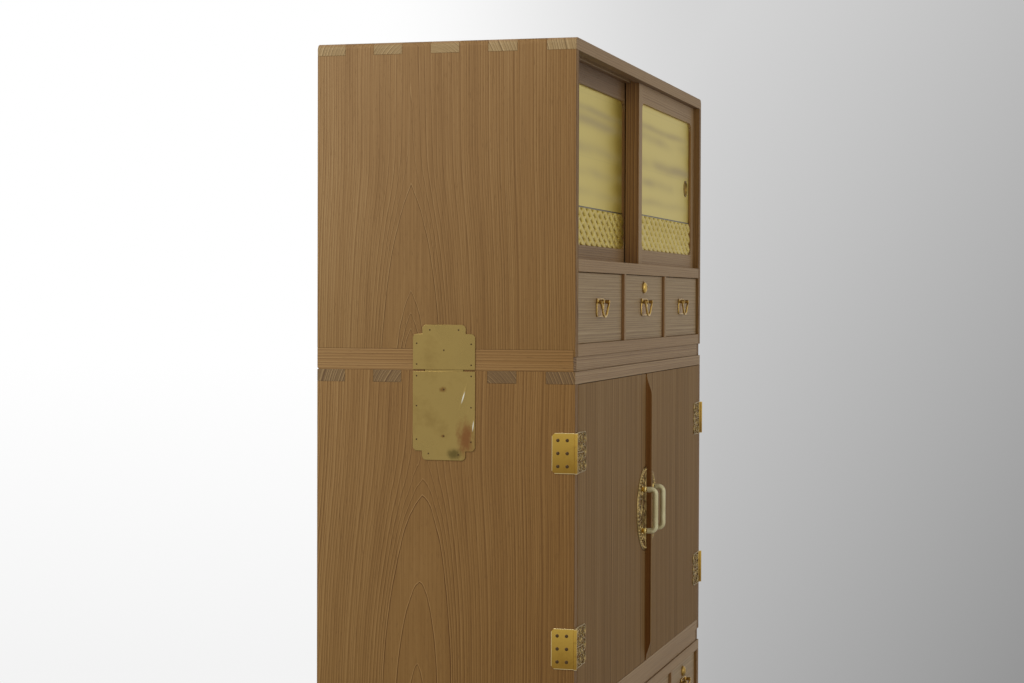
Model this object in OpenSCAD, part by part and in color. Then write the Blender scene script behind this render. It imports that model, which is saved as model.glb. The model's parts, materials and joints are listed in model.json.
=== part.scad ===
// Three-part stacking clothes chest with sliding doors, hinged doors, trays and drawers.
// Millimetres, +Z up, front towards -Y, origin on the floor under the middle of the whole chest.

/* [Case] */
// Outer width of every chest in the stack
case_w = 1110; // [980:5:1300]
// Depth of the cases, front plane to back
case_d = 440; // [400:5:520]
// Thickness of the case boards
board_t = 20; // [18:1:24]
// Height of the plinth rails under each case
plinth_h = 24; // [22:1:40]
// How far the plinth front stands back from the case front
plinth_inset = 3; // [2:0.5:12]
// Height of the part of a side plinth rail that is let into the case side
plinth_lap_h = 11; // [8:1:14]
// Thickness of that lap
plinth_lap_t = 8; // [5:1:9]
// Depth of the housings that hold shelves in the sides
housing = 6; // [3:1:7]
// How far behind the front a housing stops
housing_stop = 15; // [8:1:40]
// Thickness of the back panels
back_t = 8; // [5:1:12]
// Width of the rebate that a back panel sits in
back_rebate = 10; // [6:1:14]
// Number of fingers and gaps in each corner joint of a case
finger_count = 9; // [5:2:13]
// Rounding of the two long edges on the very top
top_round = 10; // [4:1:16]

/* [Upper chest] */
// Clear height of the opening with the sliding doors
slide_open_h = 335; // [280:5:420]
// Clear height of the drawer row below it
upper_drawer_h = 117.5; // [100:0.5:160]
// Thickness of the dividers between drawers
divider_t = 15; // [12:1:22]

/* [Sliding doors] */
// Thickness of a sliding door
slide_t = 25; // [18:1:28]
// How far the two sliding doors overlap when shut
slide_overlap = 30; // [20:1:60]
// Width of the upright door members
slide_stile = 28; // [20:1:44]
// Height of the top member that shows
slide_top_rail = 34.5; // [24:0.5:50]
// Height of the bottom member that shows
slide_bottom_rail = 27.5; // [20:0.5:50]
// Corner radius of the window in a sliding door
slide_window_r = 15; // [6:1:30]
// Depth of the front of the right sliding door behind the case front
slide_recess = 12; // [4:1:30]
// Gap between the two sliding doors
slide_gap = 2.5; // [1:0.5:6]
// Thickness of the lip in front of a gilt panel
panel_lip = 5; // [3:1:8]
// Thickness of a gilt panel
panel_t = 9; // [8:1:10]
// Height of the lattice field at the foot of a gilt panel
lattice_h = 64; // [40:1:90]
// Radius of the round finger cup
cup_r = 17; // [12:0.5:22]
// Distance of the finger cup from the outer edge of the gilt panel
cup_inset = 37; // [28:1:80]

/* [Middle chest] */
// Clear height of the opening with the hinged doors
door_open_h = 536; // [470:2:640]
// Thickness of a hinged door
door_t = 20; // [16:1:26]
// Gap between the two hinged doors
door_meet_gap = 1.2; // [1:0.1:2]
// Gap between a hinged door and the case around it
door_edge_gap = 1; // [0.8:0.1:2]
// Width of the cover strip on the right door
astragal_w = 13; // [9:1:20]
// How far the cover strip stands proud of the door
astragal_reach = 11; // [7:0.5:16]
// Length of the curved ends of the cover strip
astragal_taper = 43; // [25:1:70]

/* [Hinges] */
// Height of a hinge
hinge_h = 65.5; // [50:1:90]
// Width of the leaf on the case side
hinge_side_w = 38; // [28:1:60]
// Width of the leaf on the front, from the case corner
hinge_front_w = 74; // [56:1:100]
// Distance from the case top to the middle of the upper hinge
hinge_upper_drop = 131; // [90:1:180]
// Distance from the case top to the middle of the lower hinge
hinge_lower_drop = 446; // [380:1:470]
// Radius of the hinge barrel
barrel_r = 2.75; // [2.4:0.05:2.9]
// Radius of the hinge pin
pin_r = 1.5; // [1:0.1:1.8]
// Thickness of hinge leaves and front plates
leaf_t = 1.5; // [1:0.1:1.8]

/* [Door fittings] */
// Radius of the pair of half-round plates where the doors meet
disc_r = 79; // [50:1:100]
// Distance from the case top to the middle of the half-round plates
disc_drop = 271; // [200:1:330]
// Outer height of a door handle
handle_h = 86; // [60:1:120]
// Thickness of the handle bar
handle_d = 10; // [7:0.5:14]
// How far a handle stands out from the case front
handle_reach = 31; // [28:1:48]
// Distance of a handle from the line where the doors meet
handle_x = 34; // [26:1:55]

/* [Trays] */
// Clear height between a tray and the runners above it
tray_air = 8; // [4:1:40]
// Thickness of the tray boards
tray_t = 8; // [5:1:12]
// Depth of the hand scoop in a tray front
tray_scoop = 34; // [15:1:50]

/* [Lower chest] */
// Clear height of the top drawer row
short_row_h = 104; // [96:1:140]
// Clear height of each long drawer row
long_row_h = 178; // [120:2:240]
// Clear width of the small locking drawer
lock_w = 262; // [160:2:400]

/* [Drawers] */
// Depth of a drawer front behind the case front
drawer_recess = 5.4; // [1:0.1:10]
// Thickness of a drawer front
front_t = 18; // [14:1:24]
// Thickness of drawer sides and back
drawer_side_t = 10; // [7:1:14]
// Thickness of a drawer bottom
drawer_bottom_t = 6; // [4:1:10]
// Gap beside a drawer
drawer_gap = 0.8; // [0.4:0.1:1.6]

/* [Drawer pulls] */
// Width of the plate behind a pull
pull_plate_w = 53; // [44:1:70]
// Height of that plate
pull_plate_h = 32; // [20:1:44]
// Outer width of the swinging bail
bail_w = 64; // [50:1:76]
// Drop of the bail below its pivots
bail_drop = 27; // [24:1:36]
// Thickness of the bail rod
rod_d = 4; // [3:0.25:5]
// Distance of the bail pivots from the drawer front
post_reach = 10; // [8:0.5:14]
// Radius of the domed keyhole plate
keyhole_r = 12; // [8:0.5:15]

/* [Joint plates] */
// Width of the plates that line up two chests
strap_w = 106; // [80:1:140]
// Height of the plate on the chest above
strap_upper_h = 73; // [50:1:100]
// Height of the plate on the chest below
strap_lower_h = 145; // [80:1:180]
// Thickness of the plates
strap_t = 1.6; // [1:0.1:2]
// Width of the tongue between the plates
tongue_w = 66; // [40:1:74]
// How far the tongue reaches below the joint
tongue_drop = 24; // [12:1:40]
// Gap between the two plates
strap_gap = 3; // [2:0.5:6]

/* [Hidden] */
$fn = 48;
cut = 1; // how far a cutter reaches past the face it opens
side_wood = "#8f7049";
front_wood = "#7d6b50";
inner_wood = "#9a7044";
gilt = "#c9a04a";
pale_gilt = "#dccf9f";
gold_leaf = "#c7a35a";

// Clearances
seat_gap = 0.3; // between a moving piece and what it rests on
glue = 0.05; // glue line between boards that are joined
drawer_top_gap = 1; // above a drawer front
track_play = 0.35; // each side of a door tongue in its track
pin_play = 0.06; // round a pin in its bore
tray_gap = 1.5; // beside a tray
tongue_play = 0.15; // between a plate tongue and the plate over it
back_gap = 4; // between a drawer and the back panel

// Places that follow from the sizes above
front_y = -(case_d - handle_reach) / 2;
back_y = front_y + case_d;
left_x = -case_w / 2;
inner_w = case_w - 2 * board_t;
panel_y = back_y - back_t;
upper_box_h = 3 * board_t + slide_open_h + upper_drawer_h;
middle_box_h = 2 * board_t + door_open_h;
lower_box_h = 4 * board_t + short_row_h + 2 * long_row_h;
lower_h = plinth_h + lower_box_h;
middle_z = lower_h;
middle_h = plinth_h + middle_box_h;
upper_z = middle_z + middle_h;
total_h = upper_z + plinth_h + upper_box_h;
upper_floor = upper_z + plinth_h + board_t;
upper_shelf_z = upper_floor + upper_drawer_h;
slide_floor = upper_shelf_z + board_t;
middle_floor = middle_z + plinth_h + board_t;
lower_floor = plinth_h + board_t;
long_shelf_z = lower_floor + long_row_h;
short_shelf_z = long_shelf_z + board_t + long_row_h;
short_floor = short_shelf_z + board_t;

// Sliding doors
track_depth_low = 5;
track_depth_high = 9;
track_w = 8;
slide_w = (inner_w + slide_overlap) / 2 - seat_gap;
slide_h = slide_open_h - 2 * seat_gap;
slide_y_right = front_y + slide_recess;
slide_y_left = slide_y_right + slide_t + slide_gap;
window_w = slide_w - 2 * slide_stile;
window_h = slide_h - slide_top_rail - slide_bottom_rail + 2 * seat_gap;
panel_margin = 8; // how far a panel reaches behind the lip all round
cup_depth = 6.5;
lattice_line = 3; // height of the bead above the lattice field

// Hinged doors
hinge_out = barrel_r * 0.8; // from the case corner to the hinge axis, both ways
door_w = (inner_w - door_meet_gap) / 2 - door_edge_gap;
door_h = door_open_h - 2 * door_edge_gap;
door_y = front_y - seat_gap; // the doors stand a hair proud, under leaves that cross the case edge
hinge_clear = 0.35;
hinge_zs = [for (d = [hinge_upper_drop, hinge_lower_drop]) upper_z - d];
disc_z = upper_z - disc_drop;
rim_r = 2.2;
door_keyhole_drop = 377;
door_keyhole = [2.4, 9]; // width and height
door_keyhole_in = 7; // from the cover strip
post_d = 7;
ball_r = 6;

// Trays
tray_count = 4;
runner_w = 12;
runner_h = 10;
tray_pitch = door_open_h / tray_count;
tray_h = tray_pitch - runner_h - tray_air;
tray_setback = 8; // from the backs of the doors
tray_y = door_y + door_t + tray_setback;
tray_w = inner_w - 2 * tray_gap;

// Drawers
upper_bay = (inner_w - 2 * divider_t) / 3;
wide_w = inner_w - divider_t - lock_w;
drawer_y = front_y + drawer_recess;
drawer_d = panel_y - back_gap - drawer_y;
corner_lip = 6; // what is left of the front outside a drawer side
groove_up = 8; // height of the drawer bottom above the lower edge of its sides
groove_in = 5; // depth of the grooves that hold it
side_drop = 4; // how much lower the drawer sides are than the front

// Pulls
post_r = 3.5;
leg_x = bail_w / 2 - rod_d / 2;
leg_clear = 3.5; // between a post and the leg beside it
post_x = leg_x - rod_d / 2 - leg_clear - post_r;
bail_r = 0.31 * bail_w; // radius of the round bottom of a bail, to the middle of its rod
pull_pin_r = 1.6;
pull_pin_h = 4.5; // length of a pivot pin beyond the middles of post and leg
plate_t = 1.5;
post_foot = plate_t + glue; // the posts stand on their plate

// ---------- shared shapes ----------

module both_sides() {
  for (flip = [0, 1]) mirror([flip, 0, 0]) children();
}

// A flat outline in X and Z, its front at y = 0 and its thickness behind it
module face_plate(thick) {
  translate([0, thick, 0]) rotate([90, 0, 0]) linear_extrude(thick) children();
}

// A flat outline in Y and Z, extruded towards +X
module side_plate(thick) {
  rotate([90, 0, 90]) linear_extrude(thick) children();
}

module round_rect(w, h, r) {
  square([w - 2 * r, h], center = true);
  square([w, h - 2 * r], center = true);
  for (x = [-1, 1], y = [-1, 1]) translate([x * (w / 2 - r), y * (h / 2 - r)]) circle(r);
}

// Cutter that rounds the left top edge of the whole stack
module top_edge_cutter() {
  translate([left_x, 0, total_h])
    rotate([90, 0, 0])
      translate([0, 0, -back_y - cut])
        linear_extrude(case_d + 2 * cut)
          difference() {
            translate([-cut, -top_round]) square([top_round + cut, top_round + cut]);
            translate([top_round, -top_round]) circle(top_round);
          }
}

// ---------- case pieces ----------

finger_d = case_d / finger_count;

// Gaps of the left corner joint: parity 0 leaves room for the top board, 1 for the side
module finger_gaps(top_z, parity) {
  for (i = [parity : 2 : finger_count - 1])
    translate([left_x - cut, front_y + i * finger_d - (i == 0 ? cut : 0), top_z - board_t])
      cube([board_t + cut, finger_d + (i == 0 || i == finger_count - 1 ? cut : 0), board_t + cut]);
}

// Shallow recess in the left face for a plate tongue, from z down by drop
module tongue_recess(z, drop) {
  translate([left_x - cut, (front_y + back_y - tongue_w) / 2 - 1, z - drop])
    cube([cut + strap_t + 2 * tongue_play, tongue_w + 2, drop]);
}

module case_side(z, box_h, shelf_zs) {
  base = z + plinth_h;
  difference() {
    translate([left_x, front_y, base]) cube([board_t, case_d, box_h]);
    finger_gaps(base + box_h, 0);
    translate([left_x - cut, front_y + plinth_inset, base - cut])
      cube([plinth_lap_t + cut, case_d, plinth_lap_h + cut]);
    for (shelf_z = concat([base], shelf_zs))
      translate([left_x + board_t - housing, front_y + housing_stop, shelf_z - (shelf_z == base ? cut : 0)])
        cube([housing + cut, case_d, board_t + (shelf_z == base ? cut : 0)]);
    translate([left_x + board_t - back_rebate, panel_y, base - cut])
      cube([back_rebate + cut, back_t + cut, box_h + cut - back_rebate]);
  }
}

module case_top(z, box_h) {
  top_z = z + plinth_h + box_h;
  difference() {
    translate([left_x, front_y, top_z - board_t]) cube([case_w, case_d, board_t]);
    both_sides() finger_gaps(top_z, 1);
    translate([left_x + board_t - back_rebate, panel_y, top_z - board_t - cut])
      cube([inner_w + 2 * back_rebate, back_t + cut, board_t - back_rebate + cut]);
  }
}

// A board across the case, its ends housed in both sides behind the stop
module housed_board(z, depth = panel_y - front_y) {
  translate([left_x + board_t, front_y, z]) cube([inner_w, depth, board_t]);
  translate([left_x + board_t - housing, front_y + housing_stop, z])
    cube([inner_w + 2 * housing, depth - housing_stop, board_t]);
}

module case_back(z, box_h) {
  translate([left_x + board_t - back_rebate, panel_y, z + plinth_h])
    cube([inner_w + 2 * back_rebate, back_t, box_h - back_rebate]);
}

// The housed boards end where the back panel starts, so the panel laps them
module plinth_rails(z) {
  rail_y = front_y + plinth_inset;
  rail_d = back_y - rail_y;
  lower_corner = 4;
  both_sides()
    difference() {
      union() {
        translate([left_x, rail_y, z]) cube([board_t, rail_d, plinth_h]);
        translate([left_x, rail_y, z]) cube([plinth_lap_t, rail_d, plinth_h + plinth_lap_h]);
      }
      translate([left_x - cut, back_y, z])
        side_plate(board_t + 2 * cut)
          difference() {
            translate([-lower_corner, -cut]) square([lower_corner + cut, lower_corner + cut]);
            translate([-lower_corner, lower_corner]) circle(lower_corner);
          }
      if (z > 0) tongue_recess(z + tongue_root + cut, tongue_root + 2 * cut);
    }
  for (y = [rail_y, back_y - board_t])
    translate([left_x + board_t + glue, y, z]) cube([inner_w - 2 * glue, board_t, plinth_h]);
}

tongue_root = plinth_h - 4; // height over which a tongue is let into the plinth rail

// ---------- plates that line up two chests ----------

// Flat block that stands on v = 0 with its two upper corners rounded
module crowned_block(w, h, r) {
  translate([-w / 2, 0]) square([w, h - r]);
  translate([-w / 2 + r, 0]) square([w - 2 * r, h]);
  for (s = [-1, 1]) translate([s * (w / 2 - r), h - r]) circle(r);
}

// Plate whose free corners step back between two rounded corners, its joint edge at v = 0
module strap_outline(h) {
  step = [16, 15];
  corner_r = 7;
  crowned_block(strap_w, h - step[1], corner_r);
  crowned_block(strap_w - 2 * step[0], h, corner_r);
}

module strap_above(z) {
  mid_y = (front_y + back_y) / 2;
  both_sides() {
    translate([left_x - strap_t, mid_y, z + strap_gap / 2]) side_plate(strap_t) strap_outline(strap_upper_h);
    translate([left_x, mid_y - tongue_w / 2, z - tongue_drop])
      cube([strap_t, tongue_w, tongue_drop + tongue_root - 1]);
    translate([left_x - strap_t, mid_y - tongue_w / 2, z + strap_gap / 2])
      cube([strap_t * 2, tongue_w, tongue_root - 1 - strap_gap / 2]);
  }
}

module strap_below(z) {
  both_sides()
    translate([left_x - strap_t, (front_y + back_y) / 2, z - strap_gap / 2])
      side_plate(strap_t) mirror([0, 1]) strap_outline(strap_lower_h);
}

// ---------- drawers ----------

// A drawer whose bay starts at x, on the board at z, made of five boards
module drawer_box(x, z, bay_w, bay_h, keyhole) {
  w = bay_w - 2 * drawer_gap;
  front_h = bay_h - seat_gap - drawer_top_gap;
  side_h = front_h - side_drop;
  side_y = drawer_y + corner_lip;
  groove_y = drawer_y + front_t - groove_in;
  bottom_x = drawer_side_t - groove_in;
  translate([x + drawer_gap, 0, z + seat_gap]) {
    difference() {
      translate([0, drawer_y, 0]) cube([w, front_t, front_h]);
      for (side = [-cut, w - drawer_side_t - glue])
        translate([side, side_y, -cut]) cube([drawer_side_t + glue + cut, front_t, side_h + glue + cut]);
      translate([bottom_x, groove_y, groove_up])
        cube([w - 2 * bottom_x, groove_in + cut, drawer_bottom_t]);
      if (keyhole) translate([w / 2, drawer_y, front_h - keyhole_drop]) lock_mortise();
    }
    for (side = [0, 1])
      translate([side * w, 0, 0])
        mirror([side, 0, 0])
          difference() {
            translate([0, side_y + glue, 0]) cube([drawer_side_t, drawer_d - corner_lip - glue, side_h]);
            translate([bottom_x, side_y, groove_up]) cube([groove_in + cut, drawer_d, drawer_bottom_t]);
          }
    translate([drawer_side_t + glue, drawer_y + drawer_d - drawer_side_t, groove_up + drawer_bottom_t])
      cube([w - 2 * (drawer_side_t + glue), drawer_side_t, side_h - groove_up - drawer_bottom_t]);
    translate([bottom_x + glue, groove_y + glue, groove_up + glue])
      cube([w - 2 * (bottom_x + glue), drawer_y + drawer_d - groove_y - glue, drawer_bottom_t - 2 * glue]);
  }
}

keyhole_drop = 22;
mortise_r = 2.2;
mortise_depth = 8;

// Small round hole in a front that the keyhole plate covers
module lock_mortise() {
  rotate([-90, 0, 0]) translate([0, 0, -cut]) cylinder(r = mortise_r, h = mortise_depth + cut);
}

// Plate, posts and bosses of one pull, centred on x and z, on the face at y
module pull_mount(x, y, z) {
  pivot_z = z + pull_pivot_up;
  translate([x, y - plate_t, z])
    face_plate(plate_t) round_rect(pull_plate_w, pull_plate_h, pull_plate_corner);
  for (s = [-1, 1])
    difference() {
      translate([x + s * post_x, y, pivot_z])
        rotate([90, 0, 0])
          rotate_extrude()
            polygon([[0, post_foot], [post_r + 0.8, post_foot], [post_r + 0.8, 3], [post_r - 0.6, 4.5],
                     [post_r, post_reach - 3], [post_r, post_reach + 2.6], [post_r - 1.2, post_reach + 3.8],
                     [0, post_reach + 4.2]]);
      translate([x + s * post_x, y - post_reach, pivot_z])
        rotate([0, 90, 0]) cylinder(r = pull_pin_r + pin_play, h = 4 * post_r, center = true);
    }
}

pull_pivot_up = 0.3 * pull_plate_h; // from the middle of the plate to the pivots
pull_plate_corner = 8;

// Swinging bail that hangs in the two posts of a pull, its legs closing in on a round bottom
module bail(x, y, z) {
  rod_r = rod_d / 2;
  bow_drop = bail_drop - rod_r - bail_r;
  reach = norm([leg_x, bow_drop]);
  lean = acos(bail_r / reach) - atan2(bow_drop, leg_x);
  leg_r = rod_r - 0.15;
  lap = 1.5; // how far a leg runs on inside the thicker bottom
  leg = sqrt(reach * reach - bail_r * bail_r) + lap;
  translate([x, y - post_reach, z + pull_pivot_up]) {
    for (s = [-1, 1]) {
      translate([s * (post_x + leg_x) / 2, 0, 0])
        rotate([0, 90, 0]) cylinder(r = pull_pin_r, h = leg_x - post_x + pull_pin_h, center = true);
      translate([s * leg_x, 0, 0]) sphere(rod_r);
      translate([s * leg_x, 0, 0]) rotate([0, 180 + s * lean, 0]) cylinder(r = leg_r, h = leg);
    }
    translate([0, 0, -bow_drop])
      rotate([90, 0, 0])
        rotate([0, 0, 180 + lean])
          rotate_extrude(angle = 180 - 2 * lean) translate([bail_r, 0]) circle(rod_r);
  }
}

// Domed round plate with a keyhole slot
module keyhole_plate(x, y, z) {
  dome = 6.5;
  rim = [1.5, 1]; // width and thickness of the flat edge
  slot = [2.4, 8];
  through = dome + rim[1] + cut;
  translate([x, y, z])
    difference() {
      rotate([90, 0, 0])
        rotate_extrude()
          polygon(concat([[0, 0], [keyhole_r, 0], [keyhole_r, rim[1]]],
            [for (a = [0 : 10 : 90]) [(keyhole_r - rim[0]) * cos(a), rim[1] + dome * sin(a)]]));
      translate([-slot[0] / 2, -through, -slot[1] / 2]) cube([slot[0], through + cut, slot[1]]);
    }
}

// Pulls of a drawer stand at the given places along its width
module drawer_fittings(x, z, bay_w, bay_h, places, keyhole) {
  for (p = places) pull_mount(x + p * bay_w, drawer_y, z + bay_h / 2);
  if (keyhole) keyhole_plate(x + bay_w / 2, drawer_y, z + bay_h - drawer_top_gap - keyhole_drop);
}

// Where the drawers stand: [bay x, floor z, bay width, bay height, pull places, keyhole]
function upper_bay_x(i) = left_x + board_t + i * (upper_bay + divider_t);
upper_bays = [for (i = [0 : 2]) [upper_bay_x(i), upper_floor, upper_bay, upper_drawer_h, [0.5], i == 1]];
bay_left = left_x + board_t;
wide_bay = [bay_left, short_floor, wide_w, short_row_h, [0.25, 0.75], false];
lock_bay = [bay_left + wide_w + divider_t, short_floor, lock_w, short_row_h, [0.5], true];
long_bays = [for (z = [long_shelf_z + board_t, lower_floor])
  [bay_left, z, inner_w, long_row_h, [0.2, 0.8], false]];

module box_of(b) color(front_wood) drawer_box(b[0], b[1], b[2], b[3], b[5]);
module fittings_of(b) color(gilt) drawer_fittings(b[0], b[1], b[2], b[3], b[4], b[5]);
module bail_of(b, i) color(gilt) bail(b[0] + b[4][i] * b[2], drawer_y, b[1] + b[3] / 2);

// ---------- sliding doors ----------

module track(z, depth, door_y_front) {
  translate([left_x + board_t, door_y_front + (slide_t - track_w) / 2 - track_play, z])
    cube([inner_w, track_w + 2 * track_play, depth]);
}

module slide_frame(x, y) {
  z = slide_floor + seat_gap;
  tongue_low = track_depth_low - 0.6;
  tongue_high = track_depth_high - 3;
  window_z = slide_floor + slide_bottom_rail + window_h / 2;
  difference() {
    union() {
      translate([x, y, z]) cube([slide_w, slide_t, slide_h]);
      translate([x, y + (slide_t - track_w) / 2, z - tongue_low])
        cube([slide_w, track_w, slide_h + tongue_low + tongue_high]);
    }
    translate([x + slide_w / 2, y - cut, window_z])
      face_plate(slide_t + 2 * cut) round_rect(window_w, window_h, slide_window_r);
    translate([x + slide_w / 2, y + panel_lip, window_z])
      face_plate(slide_t) square([window_w + 2 * panel_margin, window_h + 2 * panel_margin], center = true);
  }
}

module slide_panel(x, y, cup_x) {
  margin = panel_margin - 0.3;
  mid_z = slide_floor + slide_bottom_rail + window_h / 2;
  difference() {
    translate([x + slide_w / 2, y + panel_lip, mid_z])
      face_plate(panel_t) square([window_w + 2 * margin, window_h + 2 * margin], center = true);
    translate([cup_x, y, mid_z])
      rotate([-90, 0, 0]) cylinder(r = cup_r - 1.5 + glue, h = panel_lip + cup_depth + 0.2);
  }
  translate([x + slide_stile + 0.3, y + panel_lip - 1.2, slide_floor + slide_bottom_rail + lattice_h])
    cube([window_w - 0.6, 1.2, lattice_line]);
}

module finger_cup(x, y) {
  translate([x, y + panel_lip, slide_floor + slide_bottom_rail + window_h / 2])
    rotate([-90, 0, 0])
      rotate_extrude()
        polygon(concat(
          [[0, cup_depth], [cup_r - 2.5, cup_depth], [cup_r - 1.5, cup_depth - 1], [cup_r - 1.5, 0]],
          [[cup_r, 0], [cup_r, -0.7], [cup_r - 0.7, -1.3], [cup_r - 2.2, -1.3]],
          [for (a = [0 : 15 : 90]) [(cup_r - 3) * cos(a), cup_depth * 0.8 * sin(a)]]));
}

slide_left_x = left_x + board_t + seat_gap;
slide_right_x = -left_x - board_t - seat_gap - slide_w;
cup_left_x = slide_left_x + slide_stile + cup_inset;
cup_right_x = slide_right_x + slide_w - slide_stile - cup_inset;

// ---------- hinged doors ----------

// The board of the left door, flat and full height
module door_board() {
  translate([left_x + board_t + door_edge_gap, door_y, middle_floor + door_edge_gap])
    cube([door_w, door_t, door_h]);
}

// Cover strip on the right door, its ends drawn down in S curves
module astragal() {
  foot = middle_floor + door_edge_gap;
  astragal_r = 2.5;
  function swell(s) = astragal_reach * (0.12 + 0.88 * (1 - cos(180 * s)) / 2);
  steps = 8;
  intersection() {
    translate([door_meet_gap / 2, door_y - glue, foot])
      linear_extrude(door_h)
        translate([astragal_w / 2, 0]) mirror([0, 1]) crowned_block(astragal_w, astragal_reach, astragal_r);
    translate([0, door_y - glue, foot])
      side_plate(astragal_w * 2)
        polygon(concat([[0, 0]],
          [for (i = [0 : steps]) [-swell(i / steps), astragal_taper * i / steps]],
          [for (i = [steps : -1 : 0]) [-swell(i / steps), door_h - astragal_taper * i / steps]],
          [[0, door_h]]));
  }
}

knuckle_h = (hinge_h - 2 * hinge_clear) / 3;

module barrel(z, from, to, bore = 0) {
  translate([left_x - hinge_out, front_y - hinge_out, z + from])
    difference() {
      cylinder(r = barrel_r, h = to - from);
      if (bore > 0) translate([0, 0, -cut]) cylinder(r = bore, h = to - from + 2 * cut);
    }
}

// Leaf on the case side with the two outer knuckles and the pin
module hinge_side_leaf(z) {
  low = z - hinge_h / 2;
  clipped = 5;
  edge = barrel_r - hinge_out + hinge_clear;
  translate([left_x - leaf_t, front_y, low])
    side_plate(leaf_t)
      polygon([[edge, 0], [hinge_side_w - clipped, 0], [hinge_side_w, clipped],
               [hinge_side_w, hinge_h - clipped], [hinge_side_w - clipped, hinge_h], [edge, hinge_h]]);
  for (from = [0, hinge_h - knuckle_h]) {
    barrel(low, from, from + knuckle_h);
    translate([left_x - leaf_t, front_y - hinge_out, low + from]) cube([leaf_t, hinge_out + edge, knuckle_h]);
  }
  translate([left_x - hinge_out, front_y - hinge_out, low]) cylinder(r = pin_r, h = hinge_h);
}

// Outline of a front leaf: plain at the corner, three lobes at its free end
module front_leaf_outline() {
  edge = barrel_r - hinge_out + hinge_clear;
  lobe = hinge_h / 6;
  translate([edge, -hinge_h / 2]) square([hinge_front_w - edge - lobe, hinge_h]);
  for (i = [-1 : 1]) translate([hinge_front_w - lobe, i * 2 * lobe]) circle(lobe);
}

// Leaf on the front of the left door with the middle knuckle
module hinge_front_leaf(z) {
  low = z - hinge_h / 2;
  translate([left_x, door_y - leaf_t, z]) face_plate(leaf_t) front_leaf_outline();
  mid_low = knuckle_h + hinge_clear;
  mid_high = hinge_h - knuckle_h - hinge_clear;
  barrel(low, mid_low, mid_high, pin_r + pin_play);
  difference() {
    translate([left_x - hinge_out, door_y - leaf_t, low + mid_low])
      cube([hinge_out + barrel_r, leaf_t, mid_high - mid_low]);
    translate([left_x - hinge_out, front_y - hinge_out, low]) cylinder(r = pin_r + pin_play, h = hinge_h);
  }
}

// Half-round plate with a raised rim on the left door, or moved clear of the strip on the right
module half_disc(edge_x) {
  translate([-edge_x, door_y - leaf_t, disc_z]) {
    face_plate(leaf_t)
      intersection() {
        circle(disc_r);
        translate([-disc_r, -disc_r]) square([disc_r, 2 * disc_r]);
      }
    intersection() {
      rotate([90, 0, 0]) rotate_extrude() translate([disc_r - rim_r, 0]) circle(rim_r);
      translate([-2 * disc_r, -2 * rim_r, -2 * disc_r]) cube([2 * disc_r, 2 * rim_r + leaf_t, 4 * disc_r]);
    }
  }
}

handle_leg_z = handle_h / 2 - handle_d / 2;
handle_foot = 10; // height of the ball post under each end of a handle
collar_h = 0.9; // height of the collar on the ball that the bar stands on

// Ball posts that carry a handle
module handle_posts() {
  for (s = [-1, 1])
    translate([-handle_x, door_y, disc_z + s * handle_leg_z])
      rotate([90, 0, 0])
        rotate_extrude()
          polygon(concat([[0, 0], [post_d, 0], [post_d, 2.5], [post_d / 2, 4]],
            [for (a = [-60 : 15 : 45]) [ball_r * cos(a), handle_foot - ball_r + 1.8 + ball_r * sin(a) * 0.8]],
            [[handle_d / 2 - 0.8, handle_foot + collar_h], [0, handle_foot + collar_h]]));
}

// D-shaped bar on its two posts
module handle_bar() {
  r = handle_d / 2;
  bend = 8.5;
  tip_y = door_y - (handle_reach - seat_gap) + r;
  translate([-handle_x, 0, disc_z]) {
    for (s = [-1, 1]) {
      translate([0, tip_y + bend, s * handle_leg_z])
        rotate([-90, 0, 0]) cylinder(r = r, h = door_y - handle_foot - collar_h - tip_y - bend);
      translate([0, tip_y + bend, s * (handle_leg_z - bend)])
        rotate([0, 90, 0])
          rotate([0, 0, s > 0 ? 180 : 270])
            rotate_extrude(angle = 90) translate([bend, 0]) circle(r);
    }
    translate([0, tip_y, -handle_leg_z + bend]) cylinder(r = r, h = 2 * (handle_leg_z - bend));
  }
}

module door_fittings(edge_x) {
  for (z = hinge_zs) hinge_front_leaf(z);
  half_disc(edge_x);
  handle_posts();
}

// ---------- trays ----------

function tray_z(i) = middle_floor + i * tray_pitch + runner_h;

module tray(z) {
  d = panel_y - back_gap - tray_y;
  translate([-tray_w / 2, tray_y, z]) {
    difference() {
      cube([tray_w, tray_t, tray_h]);
      translate([tray_w / 2, -cut, tray_h])
        face_plate(tray_t + 2 * cut) {
          translate([-tray_w / 5, -tray_scoop]) square([tray_w * 0.4, tray_scoop + cut]);
          for (s = [-1, 1]) translate([s * tray_w / 5, 0]) circle(tray_scoop);
        }
    }
    translate([0, d - tray_t, 0]) cube([tray_w, tray_t, tray_h]);
    for (x = [0, tray_w - tray_t])
      translate([x, tray_t + glue, 0]) cube([tray_t, d - 2 * (tray_t + glue), tray_h]);
    translate([tray_t + glue, tray_t + glue, 0])
      cube([tray_w - 2 * (tray_t + glue), d - 2 * (tray_t + glue), tray_t]);
  }
}

// ---------- nodes ----------

module lower_sides() color(side_wood) both_sides()
  difference() {
    case_side(0, lower_box_h, [long_shelf_z, short_shelf_z]);
    tongue_recess(lower_h + cut, tongue_drop + 2 * cut);
  }
module lower_top_board() color(front_wood)
  difference() {
    case_top(0, lower_box_h);
    both_sides() tongue_recess(lower_h + cut, tongue_drop + 2 * cut);
  }
module lower_bottom_board() color(inner_wood) housed_board(plinth_h);
module lower_back_panel() color(inner_wood) case_back(0, lower_box_h);
module lower_shelves() color(front_wood) {
  for (z = [long_shelf_z, short_shelf_z]) housed_board(z);
  translate([bay_left + wide_w, front_y, short_floor + glue])
    cube([divider_t, panel_y - front_y, short_row_h - glue]);
}
module lower_plinth() color(side_wood) plinth_rails(0);
module lower_joint_plates() color(gilt) strap_below(lower_h);

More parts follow.
